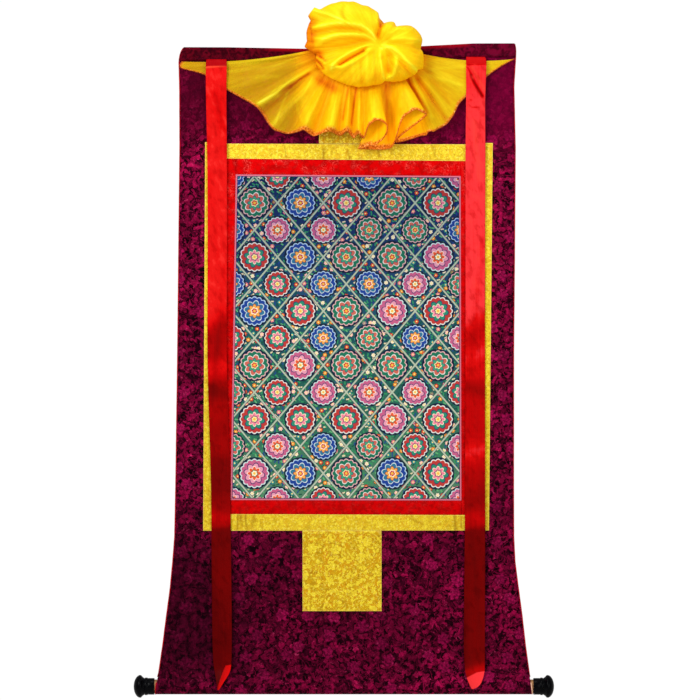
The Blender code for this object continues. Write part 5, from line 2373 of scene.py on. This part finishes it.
        # The fold mark carries the painted light and shade
        marks = {"fold": tones, **self._marks(blocks, first)}
        obj = BENCH.mesh("silk_veil", HANGING.place(*points.T), faces, marks)
        self._close_pole(obj)
        BENCH.thicken(obj, self.sheet)
        BENCH.deliver(obj, SheerSilk().material(), Slot.SILK, ["veil"])
        thread = Thread("orange_thread", 0xDC7020, 0xA84008)
        rows = [HANGING.place(*falls[-1].T)]
        THREADING.sew("veil_overlock", rows, thread, Slot.SILK, self.pitch, self.stitch, self.slant)

    @staticmethod
    def _close_pole(obj: bpy.types.Object) -> None:
        """Merge the points that meet at the pinch.

        Args:
            obj: The veil.
        """
        work = bmesh.new()
        work.from_mesh(obj.data)
        bmesh.ops.remove_doubles(work, verts=work.verts, dist=1e-6)
        work.to_mesh(obj.data)
        work.free()


# -------- the roller


@dataclass
class Roller:
    """The rod in the sleeve, and the turned knobs at its ends."""

    ends: tuple[float, float] = (-0.3740, 0.3656)
    button: float = 0.0222
    neck: float = 0.0162
    bore: float = 0.0063
    bore_depth: float = 0.0170
    dome: float = 0.0130
    widest: float = 0.0275
    sides: int = 96

    def _profile(self) -> Points:
        """A knob's outline from its tip to its bore, as (distance out, radius).

        Returns:
            The points.
        """
        angle = np.linspace(math.pi / 2, 0, 15)
        out, radius = self.widest + self.dome * np.sin(angle), self.button * np.cos(angle)
        tip = np.stack([out, radius], axis=1)
        tip[0, 1] = 0.0
        below = [
            (0.0264, 0.0219), (0.0254, 0.0212), (0.0246, 0.0203), (0.0236, 0.0191), (0.0224, 0.018),
            (0.0212, 0.0171), (0.0202, 0.0166), (0.0197, 0.016), (0.019, 0.016), (0.0184, 0.0168),
            (0.0168, 0.0172), (0.015, 0.0172), (0.0134, 0.0168), (0.0128, 0.016), (0.012, 0.016),
            (0.0114, self.neck), (0.006, self.neck), (0.001, self.neck),
            (0.0003, self.neck - 0.0003), (0.0, self.neck - 0.0009), (0.0, self.bore),
            (self.bore_depth, self.bore), (self.bore_depth, 0.0),
        ]
        return np.concatenate([tip, below])

    def build(self) -> None:
        """Turn the knobs, and grain the rod."""
        lacquer = BlackLacquer().material()
        for side, end in zip(Side, self.ends):
            start = end + side.value * HANGING.gap
            obj = self._turn(f"turned_knob_{side.word}", start, side)
            BENCH.deliver(obj, lacquer, Slot.LACQUER, [f"roller_knob_{side.word}"])
        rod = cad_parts["roller_rod"]
        rod.data.materials.clear()
        rod.data.materials.append(PlainWood().material())

    def _turn(self, name: str, start: float, side: Side) -> bpy.types.Object:
        """A knob round the rod's axis, with its foot at start.

        Args:
            name: The knob's name.
            start: Where its foot is.
            side: The rod's end.

        Returns:
            The knob.
        """
        profile = self._profile()
        angle = np.arange(self.sides) * TAU / self.sides * side.value
        along, radius = profile[1:-1, :1], profile[1:-1, 1:]
        x = start + side.value * along + 0 * angle
        y = -HANGING.rod_axis + radius * np.cos(angle)
        z = -HANGING.rod_drop + radius * np.sin(angle)
        rings = np.stack([x, y, z], axis=-1)
        ends = [start + side.value * profile[i, 0] for i in (0, -1)]
        poles = [(end, -HANGING.rod_axis, -HANGING.rod_drop) for end in ends]
        points = np.concatenate([rings.reshape(-1, 3), poles])
        numbers = numbered(*x.shape)
        faces = [face[::-1] for face in tube(numbers)]
        tip, floor = numbers.size, numbers.size + 1
        for pole, ring in ((tip, numbers[0]), (floor, numbers[-1, ::-1])):
            pairs = zip(ring.tolist(), np.roll(ring, -1).tolist())
            faces += [(pole, near, beside) for near, beside in pairs]
        return BENCH.mesh(name, points, faces)


# -------- the studio


@dataclass
class Studio:
    """The camera at the photograph's angle, plain soft light and a pale floor."""

    lens: float = 200.0
    sensor: float = 36.0
    view_width: float = 1.3696
    aim: tuple[float, float, float] = (0.0078, -0.012, -0.5948)
    lit: tuple[float, float, float] = (0.0, 0.0, -0.45)
    surround: float = 0.44
    seen_white: float = 0.58
    floor_drop: float = 1.62
    floor_half: float = 1.5

    def build(self) -> None:
        """Set up the studio."""
        self._camera()
        self._light("key_light", (-1.9, -2.6, 0.9), 1.6, 78)
        self._light("fill_light", (2.2, -3.0, -0.4), 2.2, 42)
        self._light("top_light", (0.0, -0.9, 1.7), 1.2, 20)
        self._world()
        self._floor()
        bpy.context.scene.view_settings.view_transform = "Standard"

    def _camera(self) -> None:
        """A long lens, straight on."""
        data = bpy.data.cameras.new("camera")
        data.lens = self.lens
        data.sensor_width = self.sensor
        camera = linked("camera", data)
        distance = self.view_width * self.lens / self.sensor
        camera.location = (self.aim[0], self.aim[1] - distance, self.aim[2])
        camera.rotation_euler = (math.pi / 2, 0, 0)
        bpy.context.scene.camera = camera

    def _light(
        self, name: str, place: tuple[float, float, float], size: float, power: float
    ) -> None:
        """A soft square light aimed at the scroll.

        Args:
            name: The light's name.
            place: Where it stands.
            size: Its side.
            power: Its watts.
        """
        data = bpy.data.lights.new(name, "AREA")
        data.size = size
        data.energy = power
        lamp = linked(name, data)
        lamp.location = place
        away = Vector(self.lit) - Vector(place)
        lamp.rotation_euler = away.to_track_quat("-Z", "Y").to_euler()

    def _world(self) -> None:
        """A white surround that lights from all sides."""
        world = bpy.data.worlds.new("surround")
        world.use_nodes = True
        graph = Graph(world.node_tree)
        ground = world.node_tree.nodes["Background"]
        seen = Signal(graph, graph.node("ShaderNodeLightPath").outputs["Is Camera Ray"])
        graph.feed(ground.inputs["Color"], (1.0, 1.0, 1.0, 1.0))
        graph.feed(ground.inputs["Strength"], seen * self.seen_white + self.surround)
        bpy.context.scene.world = world

    def _floor(self) -> None:
        """A pale floor below the scroll, out of the photograph's view."""
        half, z = self.floor_half, -self.floor_drop
        data = bpy.data.meshes.new("pale_floor")
        corners = [(-half, -half, z), (half, -half, z), (half, half, z), (-half, half, z)]
        data.from_pydata(corners, [], [(0, 1, 2, 3)])
        floor = linked("pale_floor", data)
        p = Paint("pale_floor_paint")
        data.materials.append(p.surface(hue(0xE9E7E3), 0.85))


def main() -> None:
    """Build and dress the scroll, piece by piece."""
    logging.basicConfig(level=logging.INFO, format="%(message)s")
    for assembly in (Mount(), Borders(), LEFT_RIBBON, RIGHT_RIBBON, Veil(), Roller(), Studio()):
        assembly.build()
    LOG.info("%d pieces made", len(BENCH.made))


if __name__ == "__main__":
    main()
